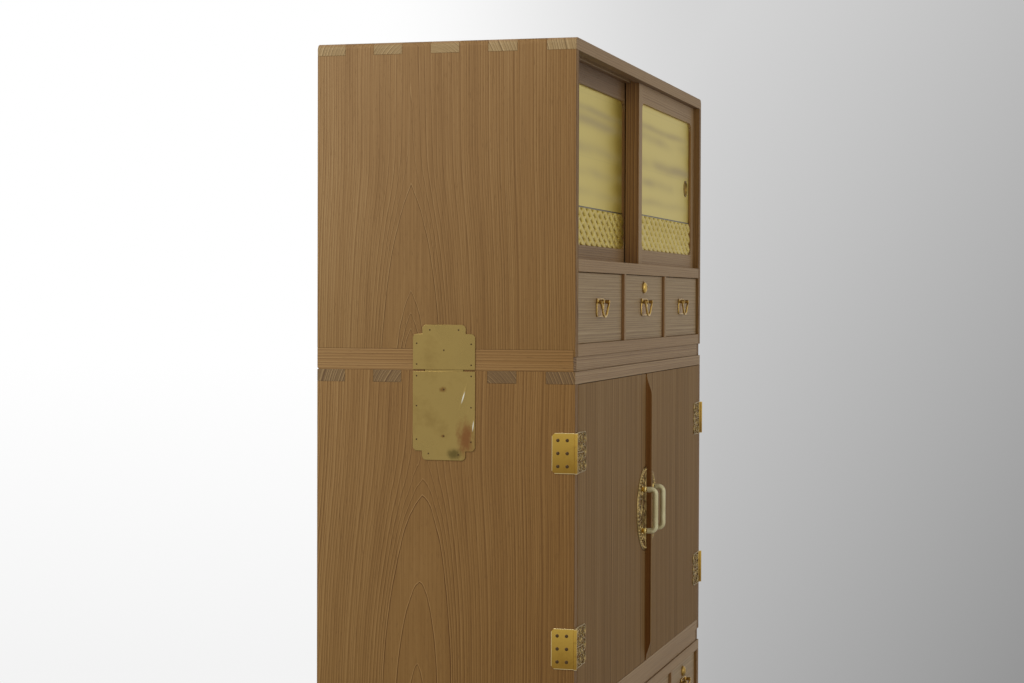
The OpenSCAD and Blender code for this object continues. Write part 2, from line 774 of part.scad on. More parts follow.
module middle_sides() color(side_wood) both_sides()
  difference() {
    case_side(middle_z, middle_box_h, []);
    tongue_recess(upper_z + cut, tongue_drop + 2 * cut);
  }
module middle_top_board() color(front_wood)
  difference() {
    case_top(middle_z, middle_box_h);
    both_sides() tongue_recess(upper_z + cut, tongue_drop + 2 * cut);
  }
module middle_bottom_board() color(front_wood) housed_board(middle_z + plinth_h);
module middle_back_panel() color(inner_wood) case_back(middle_z, middle_box_h);
module middle_plinth() color(side_wood) plinth_rails(middle_z);
module middle_joint_plates() color(gilt) {
  strap_above(middle_z);
  strap_below(upper_z);
}
module tray_runners() color(inner_wood)
  for (i = [0 : tray_count - 1])
    both_sides()
      translate([left_x + board_t, tray_y, tray_z(i) - runner_h]) cube([runner_w, panel_y - tray_y, runner_h]);
module tray_node(i) color(inner_wood) tray(tray_z(i));
module hinge_side_leaves() color(gilt) both_sides() for (z = hinge_zs) hinge_side_leaf(z);

module door_left_board() color(front_wood) door_board();
module door_left_fittings() color(gilt) door_fittings(door_meet_gap / 2);
module door_left_handle() color(pale_gilt) handle_bar();
module door_right_board() color(front_wood) {
  astragal();
  difference() {
    mirror([1, 0, 0]) door_board();
    translate([door_meet_gap / 2 + astragal_w + door_keyhole_in, door_y - cut, upper_z - door_keyhole_drop])
      cube([door_keyhole[0], door_t / 2 + cut, door_keyhole[1]]);
  }
}
module door_right_fittings() color(gilt) mirror([1, 0, 0]) door_fittings(door_meet_gap / 2 + astragal_w + 0.2);
module door_right_handle() color(pale_gilt) mirror([1, 0, 0]) handle_bar();

module upper_sides() color(side_wood) both_sides()
  difference() {
    case_side(upper_z, upper_box_h, [upper_shelf_z]);
    top_edge_cutter();
  }
module upper_top_board() color(front_wood)
  difference() {
    case_top(upper_z, upper_box_h);
    both_sides() top_edge_cutter();
    for (y = [slide_y_left, slide_y_right]) track(total_h - board_t - cut, track_depth_high + cut, y);
  }
module upper_bottom_board() color(front_wood) housed_board(upper_z + plinth_h);
module upper_back_panel() color(inner_wood) case_back(upper_z, upper_box_h);
module upper_plinth() color(side_wood) plinth_rails(upper_z);
module upper_shelf() color(front_wood)
  difference() {
    housed_board(upper_shelf_z);
    for (y = [slide_y_left, slide_y_right]) track(slide_floor - track_depth_low, track_depth_low + cut, y);
  }
module upper_dividers() color(front_wood)
  for (i = [1, 2])
    translate([upper_bay_x(i) - divider_t, front_y, upper_floor])
      cube([divider_t, panel_y - front_y, upper_drawer_h]);
module upper_joint_plates() color(gilt) strap_above(upper_z);

module slide_left_frame() color(front_wood) slide_frame(slide_left_x, slide_y_left);
module slide_left_panel() color(gold_leaf) slide_panel(slide_left_x, slide_y_left, cup_left_x);
module slide_left_cup() color(gilt) finger_cup(cup_left_x, slide_y_left);
module slide_right_frame() color(front_wood) slide_frame(slide_right_x, slide_y_right);
module slide_right_panel() color(gold_leaf) slide_panel(slide_right_x, slide_y_right, cup_right_x);
module slide_right_cup() color(gilt) finger_cup(cup_right_x, slide_y_right);

lower_sides();
lower_top_board();
lower_bottom_board();
lower_back_panel();
lower_shelves();
lower_plinth();
lower_joint_plates();
box_of(wide_bay);  // wide_drawer_box
fittings_of(wide_bay);  // wide_drawer_fittings
bail_of(wide_bay, 0);  // wide_drawer_bail_left
bail_of(wide_bay, 1);  // wide_drawer_bail_right
box_of(lock_bay);  // lock_drawer_box
fittings_of(lock_bay);  // lock_drawer_fittings
bail_of(lock_bay, 0);  // lock_drawer_bail
box_of(long_bays[0]);  // long_drawer_1_box
fittings_of(long_bays[0]);  // long_drawer_1_fittings
bail_of(long_bays[0], 0);  // long_drawer_1_bail_left
bail_of(long_bays[0], 1);  // long_drawer_1_bail_right
box_of(long_bays[1]);  // long_drawer_2_box
fittings_of(long_bays[1]);  // long_drawer_2_fittings
bail_of(long_bays[1], 0);  // long_drawer_2_bail_left
bail_of(long_bays[1], 1);  // long_drawer_2_bail_right
middle_sides();
middle_top_board();
middle_bottom_board();
middle_back_panel();
middle_plinth();
tray_runners();
tray_node(0);  // tray_1
tray_node(1);  // tray_2
tray_node(2);  // tray_3
tray_node(3);  // tray_4
middle_joint_plates();
hinge_side_leaves();
door_left_board();
door_left_fittings();
door_left_handle();
door_right_board();
door_right_fittings();
door_right_handle();
upper_sides();
upper_top_board();
upper_bottom_board();
upper_back_panel();
upper_plinth();
upper_shelf();
upper_dividers();
upper_joint_plates();
slide_left_frame();
slide_left_panel();
slide_left_cup();
slide_right_frame();
slide_right_panel();
slide_right_cup();
box_of(upper_bays[0]);  // upper_drawer_1_box
fittings_of(upper_bays[0]);  // upper_drawer_1_fittings
bail_of(upper_bays[0], 0);  // upper_drawer_1_bail
box_of(upper_bays[1]);  // upper_drawer_2_box
fittings_of(upper_bays[1]);  // upper_drawer_2_fittings
bail_of(upper_bays[1], 0);  // upper_drawer_2_bail
box_of(upper_bays[2]);  // upper_drawer_3_box
fittings_of(upper_bays[2]);  // upper_drawer_3_fittings
bail_of(upper_bays[2], 0);  // upper_drawer_3_bail
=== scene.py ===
import bpy
import bmesh
import json
from math import sin, cos, pi, radians
from mathutils import Matrix, Vector

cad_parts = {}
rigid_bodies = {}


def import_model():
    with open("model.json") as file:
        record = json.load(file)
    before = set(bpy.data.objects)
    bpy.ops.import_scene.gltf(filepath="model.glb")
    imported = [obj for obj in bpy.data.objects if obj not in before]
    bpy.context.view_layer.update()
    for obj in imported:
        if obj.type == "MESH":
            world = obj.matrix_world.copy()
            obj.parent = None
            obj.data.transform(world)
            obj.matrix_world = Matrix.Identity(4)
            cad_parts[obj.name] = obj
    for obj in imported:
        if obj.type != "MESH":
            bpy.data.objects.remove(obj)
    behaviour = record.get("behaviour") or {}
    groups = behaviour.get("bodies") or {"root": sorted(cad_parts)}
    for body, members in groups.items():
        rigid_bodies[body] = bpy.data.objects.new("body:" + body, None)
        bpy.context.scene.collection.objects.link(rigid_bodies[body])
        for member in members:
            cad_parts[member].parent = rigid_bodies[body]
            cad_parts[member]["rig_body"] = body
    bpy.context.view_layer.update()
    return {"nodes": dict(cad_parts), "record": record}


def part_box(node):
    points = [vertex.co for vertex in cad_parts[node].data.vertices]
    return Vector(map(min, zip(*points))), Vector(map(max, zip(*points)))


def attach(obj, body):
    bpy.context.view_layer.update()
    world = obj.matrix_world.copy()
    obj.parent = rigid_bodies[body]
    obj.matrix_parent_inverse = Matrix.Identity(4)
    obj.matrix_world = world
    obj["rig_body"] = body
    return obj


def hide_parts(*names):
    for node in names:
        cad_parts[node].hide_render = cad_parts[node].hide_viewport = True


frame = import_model()
nodes = frame["nodes"]
mm = 0.001


def box(name):
    low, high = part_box(name)
    return Vector(low), Vector(high)


# main places of the chest, all read from the frame
sideLow, sideHigh = box("upper_sides")
topLow, topHigh = box("upper_top_board")
caseLeft = sideLow.x
caseRight = sideHigh.x
caseFront = topLow.y
caseBack = topHigh.y
caseTop = topHigh.z
caseMid = (caseFront + caseBack) / 2
upperJoint = box("upper_plinth")[0].z
lowerJoint = box("middle_plinth")[0].z
doorFace = box("door_left_board")[0].y


# camera: the photographer's place, fitted to the corners of the cases
# right, back and up are from the front left corner of the upper joint, angles are in degrees
camera = dict(right=-3290.9 * mm, back=-800.7 * mm, up=116.9 * mm, heading=15.392, down=1.154, roll=0.19, focal=74.32,
              sensor=36, reach=60)


def makeCamera(c):
    heading, down, roll = radians(c["heading"]), radians(c["down"]), radians(c["roll"])
    ahead = Vector((cos(heading) * cos(down), sin(heading) * cos(down), -sin(down)))
    right = Vector((sin(heading), -cos(heading), 0))
    up = right.cross(ahead)
    turned = cos(roll) * right + sin(roll) * up
    above = cos(roll) * up - sin(roll) * right
    data = bpy.data.cameras.new("camera")
    data.sensor_width = c["sensor"]
    data.lens = c["focal"]
    data.clip_end = c["reach"]
    eye = bpy.data.objects.new("camera", data)
    bpy.context.scene.collection.objects.link(eye)
    place = Vector((caseLeft + c["right"], caseFront + c["back"], upperJoint + c["up"]))
    eye.matrix_world = Matrix((
        (turned.x, above.x, -ahead.x, place.x),
        (turned.y, above.y, -ahead.y, place.y),
        (turned.z, above.z, -ahead.z, place.z),
        (0, 0, 0, 1)))
    bpy.context.scene.camera = eye
    print("camera stands at", tuple(round(v, 3) for v in place))


# shader sockets that take plain arithmetic
class Wire:
    def __init__(self, graph, socket):
        self.graph = graph
        self.socket = socket

    def __add__(self, other):
        return self.graph.maths("ADD", self, other)

    def __sub__(self, other):
        return self.graph.maths("SUBTRACT", self, other)

    def __mul__(self, other):
        return self.graph.maths("MULTIPLY", self, other)

    def __truediv__(self, other):
        return self.graph.maths("DIVIDE", self, other)

    def __rsub__(self, other):
        return self.graph.maths("SUBTRACT", other, self)

    def __rtruediv__(self, other):
        return self.graph.maths("DIVIDE", other, self)

    __radd__ = __add__
    __rmul__ = __mul__


# the nodes of a new material, or of a world that is handed in
class Graph:
    def __init__(self, name, world=None):
        self.material = world or bpy.data.materials.new(name)
        self.material.use_nodes = True
        self.tree = self.material.node_tree
        if world:
            self.tree.nodes.clear()
            return
        self.shader = self.tree.nodes["Principled BSDF"]
        where = self.add("ShaderNodeTexCoord", out="Object")
        parts = self.tree.nodes.new("ShaderNodeSeparateXYZ")
        self.tree.links.new(where.socket, parts.inputs[0])
        self.where = where
        self.x, self.y, self.z = (Wire(self, s) for s in parts.outputs)

    def plug(self, socket, value):
        if isinstance(value, Wire):
            self.tree.links.new(value.socket, socket)
        elif value is not None:
            socket.default_value = value

    def add(self, kind, settings=None, inputs=None, out=0, stops=None):
        node = self.tree.nodes.new(kind)
        for key, value in (settings or {}).items():
            setattr(node, key, value)
        if stops:
            ramp = node.color_ramp
            while len(ramp.elements) < len(stops):
                ramp.elements.new(0.5)
            for element, (place, colour) in zip(ramp.elements, stops):
                element.position = place
                element.color = tuple(colour) + (1,) if len(colour) == 3 else colour
        for key, value in (inputs or {}).items():
            self.plug(node.inputs[key], value)
        return Wire(self, node.outputs[out])

    def maths(self, operation, a, b=None, c=None):
        return self.add("ShaderNodeMath", dict(operation=operation), {0: a, 1: b, 2: c})

    def vector(self, x, y, z):
        return self.add("ShaderNodeCombineXYZ", None, {0: x, 1: y, 2: z})

    def noise(self, vector, scale, detail=2.0, roughness=0.5):
        return self.add("ShaderNodeTexNoise", dict(noise_dimensions="3D"),
                        {"Vector": vector, "Scale": scale, "Detail": detail, "Roughness": roughness})

    def noise1(self, w, scale, detail=2.0):
        return self.add("ShaderNodeTexNoise", dict(noise_dimensions="1D"), {"W": w, "Scale": scale, "Detail": detail})

    def ramp(self, value, stops):
        return self.add("ShaderNodeValToRGB", None, {0: value}, stops=stops)

    def fit(self, value, low, high, newLow=0.0, newHigh=1.0, smooth=False):
        return self.add("ShaderNodeMapRange", dict(interpolation_type="SMOOTHSTEP" if smooth else "LINEAR"),
                        {0: value, 1: low, 2: high, 3: newLow, 4: newHigh})

    def mix(self, amount, a, b, blend="MIX"):
        node = self.tree.nodes.new("ShaderNodeMix")
        node.data_type = "RGBA"
        node.blend_type = blend
        self.plug(node.inputs[0], amount)
        self.plug(node.inputs[6], a if isinstance(a, Wire) else tuple(a) + (1,))
        self.plug(node.inputs[7], b if isinstance(b, Wire) else tuple(b) + (1,))
        return Wire(self, node.outputs[2])

    def bump(self, height, strength, distance):
        return self.add("ShaderNodeBump", None, {"Strength": strength, "Distance": distance, "Height": height})

    def finish(self, **values):
        sockets = dict(baseColor="Base Color", roughness="Roughness", metallic="Metallic", normal="Normal",
                       specular="Specular IOR Level")
        for key, value in values.items():
            if isinstance(value, tuple):
                value = value + (1,)
            self.plug(self.shader.inputs[sockets[key]], value)
        return self.material


def srgb(r, g, b):
    return tuple(((v / 255 + 0.055) / 1.055) ** 2.4 if v > 10 else v / 255 / 12.92 for v in (r, g, b))


# paulownia: growth rings as cones round a pith, so faces, edges and end grain agree
def paulownia(name, w):
    g = Graph(name)
    # m is x mirrored, so both sides of the chest are cut alike
    axes = dict(x=g.x, y=g.y, z=g.z, m=g.maths("ABSOLUTE", g.x) * -1.0)
    along, across, deep = (axes[k] for k in w["axes"])
    sway = g.noise(g.vector(along * 2.6, across * 3.4, deep * 3.4), 1.0, 2) - 0.5
    shiver = g.noise(g.vector(along * w["shiverAlong"], across * 75, deep * 75), 1.0, 2) - 0.5
    flow = along - w["pith"][2]
    # above its crest the pith runs nearly level with the face
    lean = g.maths("SMOOTH_MIN", flow, w["crest"], 0.08) * w["tilt"] + flow * 0.012 if w["crest"] else flow * w["tilt"]
    u = across - w["pith"][0] + flow * w["drift"] + sway * w["sway"]
    d = deep - w["pith"][1] + lean + sway * w["sway"] * 0.3
    reach = g.maths("SQRT", u * u + d * d) + g.maths("ABSOLUTE", u) * w["peak"] + shiver * w["shiver"]
    crowd = g.noise1(reach, 0.3 / w["gap"], 1.0) * w["gap"] * 1.9
    past = (g.maths("FRACT", (reach + crowd) / w["gap"]) - 0.5) * w["gap"]
    bold = g.fit(g.noise1(reach, 0.11 / w["gap"], 1.0), 0.38, 0.62, w["faint"], 1.0)
    if w["rings"]:
        # signed distance from the nearest ring, written into a ramp
        rings, far, rest, strong = w["rings"], 0.06, 0.003, 1.8
        span = rings[-1] + rest
        stops = [(0.0, 0.5 - rings[0] / far)]
        for inner, outer in zip(rings, rings[1:]):
            half = (outer - inner) / 2
            turning = (inner + half) / span
            stops += [(turning - 0.0005, 0.5 + half / far), (turning + 0.0005, 0.5 - half / far)]
        stops.append((1.0, 0.5 + rest / far))
        near = (g.ramp(reach / span, [(place, (v, v, v)) for place, v in stops]) - 0.5) * far
        outside = g.maths("GREATER_THAN", reach, span)
        past = g.maths("MULTIPLY_ADD", outside, past - near, near)
        bold = g.maths("MULTIPLY_ADD", outside, bold - strong, strong)
    # rings that lie flat to the face would smear, so their width follows how fast they pass by
    pace = g.maths("SQRT", u * u + d * d * (w["tilt"] * w["tilt"])) / reach
    past = past / g.maths("MAXIMUM", pace, 0.16) / w["line"]
    late, early = past + 0.7, past - 0.8
    line = g.maths("EXPONENT", early * early * -1.0) * 0.85 - g.maths("EXPONENT", late * late * -1.0)
    line = line * bold * 0.5
    # fibres, threads and pores run along the board
    fibre = g.noise(g.vector(along * 5, across * 420, deep * 420), 1.0, 3, 0.6) - 0.5
    thread = g.noise(g.vector(along * 14, across * 1500, deep * 1500), 1.0, 1) - 0.5
    pores = g.fit(g.noise(g.vector(along * 60, across * 1100, deep * 1100), 1.0, 1), 0.66, 0.76)
    streak = g.noise1(reach, w["streakScale"], 2.0) - 0.5
    cloud = g.noise(g.vector(along * 1.6, across * 4.5, deep * 4.5), 1.0, 2) - 0.5
    tone = line * w["contrast"] + fibre * w["fibre"] + thread * 0.14 + streak * w["streak"]
    tone = tone + cloud * w["cloud"] + 0.5
    facing = g.add("ShaderNodeTexCoord", out="Normal")
    parts = g.add("ShaderNodeSeparateXYZ", None, {0: facing}, out="xyz".index(w["axes"][0]))
    endGrain = g.fit(g.maths("ABSOLUTE", parts), 0.7, 0.9)
    tone = tone + endGrain * line * 1.4 - endGrain * w["endDark"]
    base = g.ramp(tone, [(0.0, w["deepTone"]), (0.5, w["tone"]), (1.0, w["paleTone"])])
    base = g.mix(endGrain * 0.3, base, w["endTone"])
    base = g.mix(pores * 0.4, base, w["deepTone"])
    # painted shade on faces that look sideways
    if w["flankTint"]:
        flank = g.add("ShaderNodeSeparateXYZ", None, {0: facing}, out=0)
        base = g.mix(g.fit(g.maths("ABSOLUTE", flank), 0.7, 0.9), base, w["flankTint"], "MULTIPLY")
    # painted shade on faces that look down
    if w["underTint"]:
        under = g.add("ShaderNodeSeparateXYZ", None, {0: facing}, out=2)
        base = g.mix(g.fit(under, -0.7, -0.9), base, w["underTint"], "MULTIPLY")
    # painted shade, darker towards the front and over the given span of heights
    if w["aged"]:
        low, high = w["aged"]
        base = g.mix(g.fit(g.y, caseBack, caseFront), base, w["frontTint"], "MULTIPLY")
        base = g.mix(g.fit(g.z, high, low), base, w["lowTint"], "MULTIPLY")
    height = line * 0.9 + fibre * 0.7 - pores * 0.5
    return g.finish(baseColor=base, roughness=g.fit(tone, 0, 1, w["rough"] + 0.06, w["rough"] - 0.04),
                    normal=g.bump(height, w["relief"], 0.0006), specular=w["sheen"])


# pith is where the centre of the log lies across, deep and along, and tilt is how fast it leaves the face.
# rings gives the radii of the arches that stand out, gap the spacing of the others, and line the width of each.
# The painted shade span gives the height where the low painted shade is full and the height where it ends.
timber = dict(
    axes="xzy", pith=(0, 0, 0), tilt=0.006, crest=0.0, peak=0.0, drift=0.0, sway=0.004, shiver=0.0008, shiverAlong=5,
    rings=(), gap=0.0036, line=0.0006, faint=0.35, contrast=0.8, fibre=0.34, streak=0.3, streakScale=34, cloud=0.25,
    tone=srgb(156, 121, 78), paleTone=srgb(190, 158, 114), deepTone=srgb(100, 66, 32),
    # the flank, under, front and low shades are painted shade
    endTone=srgb(128, 98, 62), endDark=0.1, flankTint=(), underTint=(),
    aged=(), frontTint=(0.80, 0.72, 0.55), lowTint=(0.82, 0.78, 0.64),
    relief=0.5, rough=0.56, sheen=0.5)


def cut(name, **changes):
    out = dict(timber)
    out.update(changes)
    return paulownia(name, out)


def millimetres(*values):
    return [v * mm for v in values]


sideCut = dict(axes="zym", gap=0.0052, line=0.00095, shiver=0.0024, shiverAlong=9,
               sway=0.007, sheen=0.22, fibre=0.5, faint=0.5, tilt=0.17)
orange = dict(tone=srgb(146, 110, 64), paleTone=srgb(176, 140, 92), deepTone=srgb(92, 56, 22))
doorCut = dict(axes="zxy", gap=0.0098, line=0.0017, contrast=0.7, fibre=0.6, sheen=0.12, rough=0.62, relief=0.35,
               tone=srgb(146, 112, 69), paleTone=srgb(176, 142, 98), deepTone=srgb(94, 62, 30),
               flankTint=(0.7, 0.5, 0.3), frontTint=(1.0, 1.0, 1.0), lowTint=(0.80, 0.75, 0.62),
               aged=(upperJoint - 0.5, upperJoint))
woods = dict(
    upperSide=cut("upper side wood", **sideCut, contrast=0.58, crest=0.40, peak=0.28,
                  pith=(caseMid + 0.058, caseLeft, upperJoint - 0.085),
                  rings=millimetres(13.6, 27.9, 32.6, 39.3, 69.5), aged=(upperJoint, caseTop)),
    middleSide=cut("middle side wood", **sideCut, **orange, contrast=0.62, drift=0.028, crest=0.41, peak=0.13,
                   pith=(caseMid + 0.047, caseLeft, upperJoint - 0.572),
                   rings=millimetres(16, 40.8, 66.6), aged=(upperJoint - 0.6, upperJoint)),
    lowerSide=cut("lower side wood", **sideCut, **orange, contrast=0.62, drift=0.02, crest=0.44, peak=0.15,
                  pith=(caseMid - 0.03, caseLeft, lowerJoint - 0.62),
                  rings=millimetres(11, 21, 34, 54, 68), aged=(lowerJoint - 0.6, lowerJoint + 0.1)),
    sideRail=cut("side rail wood", axes="yzx", pith=(-0.62, caseLeft - 0.2, 0), gap=0.0050, contrast=0.8, tilt=0.01,
                 tone=srgb(152, 116, 70), paleTone=srgb(180, 144, 96), deepTone=srgb(96, 60, 26), sheen=0.25,
                 aged=(0, 0.8)),
    acrossFront=cut("front rail wood", axes="xzy", pith=(-0.7, caseFront - 1.3, 0), tilt=0.004, contrast=0.5),
    # a darker copy of the front rail wood: painted shade, full at the top under the top board
    shadedFront=cut("shaded rail wood", axes="xzy", pith=(-0.7, caseFront - 1.3, 0), tilt=0.004, contrast=0.4,
                    deepTone=srgb(88, 60, 34), frontTint=(0.94, 0.92, 0.88), lowTint=(0.56, 0.50, 0.42),
                    aged=(caseTop - 0.03, caseTop - 0.10)),
    uprightFront=cut("upright wood", axes="zxy", pith=(-1.7, caseFront + 1.3, 0), tilt=0.004,
                     flankTint=(0.80, 0.66, 0.45)),
    doorWood=cut("door wood", **doorCut, pith=(-1.9, caseFront + 1.5, 0)),
    drawerWood=cut("drawer front wood", axes="xzy", pith=(-0.9, caseFront - 1.1, 0), tilt=0.003, gap=0.0043,
                   line=0.0008, fibre=0.6, contrast=0.42, streak=0.14, faint=0.6, shiver=0.0004, sway=0.002,
                   tone=srgb(164, 134, 93), paleTone=srgb(196, 168, 126), deepTone=srgb(114, 86, 54)),
    boxWood=cut("drawer box wood", axes="yzx", pith=(-0.5, 1.4, 0), gap=0.0042,
                tone=srgb(172, 140, 98), paleTone=srgb(200, 172, 130), deepTone=srgb(126, 92, 54)),
    topWood=cut("top board wood", axes="xyz", pith=(caseMid + 0.03, caseTop - 0.075, 0), tilt=0.01, gap=0.0052,
                contrast=0.8, endTone=srgb(156, 138, 84), endDark=-0.02, underTint=(0.50, 0.42, 0.34)),
    boardWood=cut("case board wood", axes="xyz", pith=(caseMid - 0.02, upperJoint - 0.085, 0), tilt=0.004, gap=0.0052,
                  contrast=1.0, tone=srgb(142, 112, 68), endTone=srgb(112, 88, 52),
                  aged=(upperJoint - 0.1, upperJoint + 0.2)),
    innerWood=cut("inner wood", axes="xyz", pith=(-0.9, -0.9, 0), tilt=0.005, gap=0.005,
                  tone=srgb(164, 126, 82), paleTone=srgb(190, 156, 110), deepTone=srgb(116, 80, 44)),
    backWood=cut("back panel wood", axes="zxy", pith=(0.1, caseBack, -0.4), tilt=0.06, gap=0.006,
                 tone=srgb(160, 124, 82), paleTone=srgb(188, 154, 110), deepTone=srgb(112, 78, 42)),
)
print("woods are mixed")


# metals
hingeHeights = [upperJoint - 0.131, upperJoint - 0.446]
hingeHalf = 32.75 * mm


def brass(name, m):
    g = Graph(name)
    cloud = g.noise(g.where, m["cloudScale"], 4, 0.6)
    speck = g.fit(g.noise(g.where, 700, 2), 0.64, 0.74)
    tarnish = g.fit(cloud, 0.5, 0.78, 0, m["tarnish"], True)
    colour = g.mix(tarnish, m["bright"], m["dull"])
    colour = g.mix(speck * 0.25, colour, m["dull"])
    rough = g.fit(cloud, 0.3, 0.8, m["rough"], m["rough"] + 0.14)
    height = g.noise(g.where, m["dentScale"], 2)
    # darker reddish and greenish patches at fixed places
    for y, z, wide, high, tone in m.get("stains", ()):
        du, dv = (g.y - y) / wide, (g.z - z) / high
        ragged = (g.noise(g.vector(g.x, g.y * 130, g.z * 60), 1.0, 4, 0.7) - 0.5) * 1.3
        stain = g.fit(g.maths("SQRT", du * du + dv * dv) + ragged, 0.2, 1.25, 0.8, 0.0, True)
        colour = g.mix(stain, colour, tone)
        rough = rough + stain * 0.12
    if m.get("falls"):
        # painted shade: each leaf is darker towards its lower end
        high, low, half = m["falls"]
        place = g.z - g.fit(g.maths("GREATER_THAN", g.z, (high + low) / 2), 0, 1, low, high)
        colour = g.mix(g.fit(place, half, -half, 0.0, 0.75), colour, m["dull"])
        # and a painted highlight along its rim
        rim = g.maths("MINIMUM", box("hinge_side_leaves")[1].y - g.y, half - g.maths("ABSOLUTE", place))
        colour = g.mix(g.fit(rim, 0.4 * mm, 1.1 * mm, 0.75, 0.0), colour, (1.0, 0.84, 0.48))
    # each crease is a bump with a painted highlight along it
    for y, z, lean, wide, long in m.get("creases", ()):
        a = ((g.y - y) * cos(lean) + (g.z - z) * sin(lean)) / wide
        b = ((g.z - z) * cos(lean) - (g.y - y) * sin(lean)) / long
        fold = g.maths("EXPONENT", (a * a + b * b) * -1.0)
        height = height + fold * m["creaseHeight"]
        colour = g.mix(g.fit(fold, 0.5, 0.95, 0, 0.9), colour, (1.0, 0.97, 0.85))
    return g.finish(baseColor=colour, metallic=1.0, roughness=rough, normal=g.bump(height, m["dent"], 0.004))


# the darker patches give y, z, width, height and tone; the creases, each with a painted highlight, give y, z, lean,
# width and length
plateWear = dict(
    bright=srgb(173, 147, 88), dull=srgb(132, 106, 58), cloudScale=16, tarnish=0.5, dentScale=14, dent=0.16, rough=0.24,
    stains=[(caseMid - 0.038, upperJoint - 0.112, 0.017, 0.034, srgb(128, 76, 46)),
            (caseMid - 0.018, upperJoint - 0.136, 0.014, 0.010, srgb(92, 80, 44)),
            (caseMid + 0.002, upperJoint - 0.031, 0.007, 0.005, srgb(120, 84, 44)),
            (caseMid + 0.001, upperJoint - 0.107, 0.004, 0.003, srgb(120, 84, 44))],
    creases=[(caseMid - 0.033, upperJoint - 0.044, 0.30, 0.0016, 0.014),
             (caseMid - 0.050, upperJoint - 0.090, 0.10, 0.0014, 0.012)],
    creaseHeight=1.6)
metals = dict(
    plate=brass("joint plate brass", plateWear),
    hinge=brass("hinge gilt", dict(
        bright=srgb(206, 168, 78), dull=srgb(132, 94, 34), cloudScale=30, tarnish=0.4, dentScale=60, dent=0.05,
        rough=0.26, falls=(*hingeHeights, hingeHalf))),
    scroll=brass("scrollwork gilt", dict(
        bright=srgb(156, 130, 78), dull=srgb(66, 46, 22), cloudScale=80, tarnish=0.9, dentScale=240, dent=0.05,
        rough=0.3)),
    disc=brass("half-round plate gilt", dict(
        bright=srgb(172, 146, 94), dull=srgb(50, 32, 13), cloudScale=45, tarnish=1.0, dentScale=240, dent=0.05,
        rough=0.24)),
    pull=brass("pull gilt", dict(
        bright=srgb(206, 170, 94), dull=srgb(84, 58, 26), cloudScale=90, tarnish=1.0, dentScale=300, dent=0.05,
        rough=0.2)),
    # the pull plates are darker, a painted dark reflection
    patina=brass("pull plate patina", dict(
        bright=srgb(150, 112, 52), dull=srgb(56, 36, 14), cloudScale=90, tarnish=1.0, dentScale=200, dent=0.1,
        rough=0.3)),
    lock=brass("keyhole plate gilt", dict(
        bright=srgb(176, 142, 76), dull=srgb(64, 44, 20), cloudScale=140, tarnish=1.0, dentScale=260, dent=0.1,
        rough=0.24)),
    post=brass("handle post gilt", dict(
        bright=srgb(226, 198, 124), dull=srgb(150, 118, 60), cloudScale=120, tarnish=0.6, dentScale=300, dent=0.05,
        rough=0.2)),
    cup=brass("finger cup brass", dict(
        bright=srgb(140, 112, 58), dull=srgb(64, 44, 20), cloudScale=90, tarnish=1.0, dentScale=200, dent=0.05,
        rough=0.3)),
)


def creamGold():
    g = Graph("pale satin gold")
    cloud = g.noise(g.where, 40, 3)
    rub = g.noise(g.vector(g.x * 300, g.y * 300, g.z * 20), 1.0, 2)
    colour = g.mix(g.fit(cloud, 0.35, 0.7), srgb(226, 216, 172), srgb(208, 194, 146))
    colour = g.mix(g.fit(rub, 0.4, 0.8, 0, 0.2), colour, srgb(184, 164, 108))
    return g.finish(baseColor=colour, metallic=0.35, roughness=g.fit(cloud, 0.3, 0.7, 0.32, 0.42),
                    normal=g.bump(rub, 0.1, 0.0002))


metals["cream"] = creamGold()


# satin gold leaf with soft grey bands of mist, its own layout over both sliding panels
def goldLeaf(name, fieldTop, leaf):
    g = Graph(name)
    squares = [g.maths("ABSOLUTE", g.maths("FRACT", w / leaf["square"]) - 0.5) for w in (g.x, g.z)]
    seam = g.fit(g.maths("MAXIMUM", *squares), 0.490, 0.5)
    height = g.z - fieldTop + (g.noise(g.vector(g.x * 3 + g.y * 9, 0.0, g.z * 2), 1.0, 1) - 0.5) * 0.022
    mist = 0.0
    for number, (place, half, strength) in enumerate(leaf["bands"]):
        off = (height - place) / half
        broken = g.noise(g.vector(g.x * 3.1 + g.y * 9, number * 7.0, g.z * 9), 1.0, 2)
        mist = mist + g.maths("EXPONENT", off * off * -1.0) * g.fit(broken, 0.34, 0.62, 0.1, strength)
    mist = g.maths("MINIMUM", mist, 1.0)
    colour = g.mix(mist * leaf["mist"], leaf["gold"], leaf["grey"])
    colour = g.mix(seam * 0.15, colour, leaf["seamTone"])
    # painted shade: the field between the lattice bars is dark
    field = g.maths("LESS_THAN", g.z, fieldTop - 0.011)
    colour = g.mix(field, colour, leaf["fieldTone"])
    # painted shade in the groove along the top of the field
    groove = g.fit(g.maths("ABSOLUTE", g.z - fieldTop), 0.0009, 0.0014, 1.0, 0.0)
    colour = g.mix(groove, colour, leaf["grooveTone"])
    crease = g.noise(g.vector(g.x * 40, g.y * 40, g.z * 60), 2.0, 4)
    dullness = mist + field * 2 + groove * 2
    return g.finish(baseColor=colour, metallic=g.fit(dullness, 0, 2, 0.7, 0.05),
                    roughness=g.fit(mist, 0, 1, 0.36, 0.5), normal=g.bump(crease, 0.1, 0.0006))


# bands give the height above the lattice field, half the width and the strength of each band of mist
leafing = dict(fieldUp=73.5 * mm, square=0.109, mist=0.72,
               gold=srgb(214, 192, 88), grey=srgb(172, 150, 114), seamTone=srgb(160, 140, 66),
               grooveTone=srgb(40, 26, 8), fieldTone=srgb(58, 40, 12),
               bands=[(0.168, 0.007, 0.7), (0.148, 0.010, 0.8), (0.100, 0.011, 0.9), (0.062, 0.009, 0.9),
                      (0.026, 0.008, 0.5)])


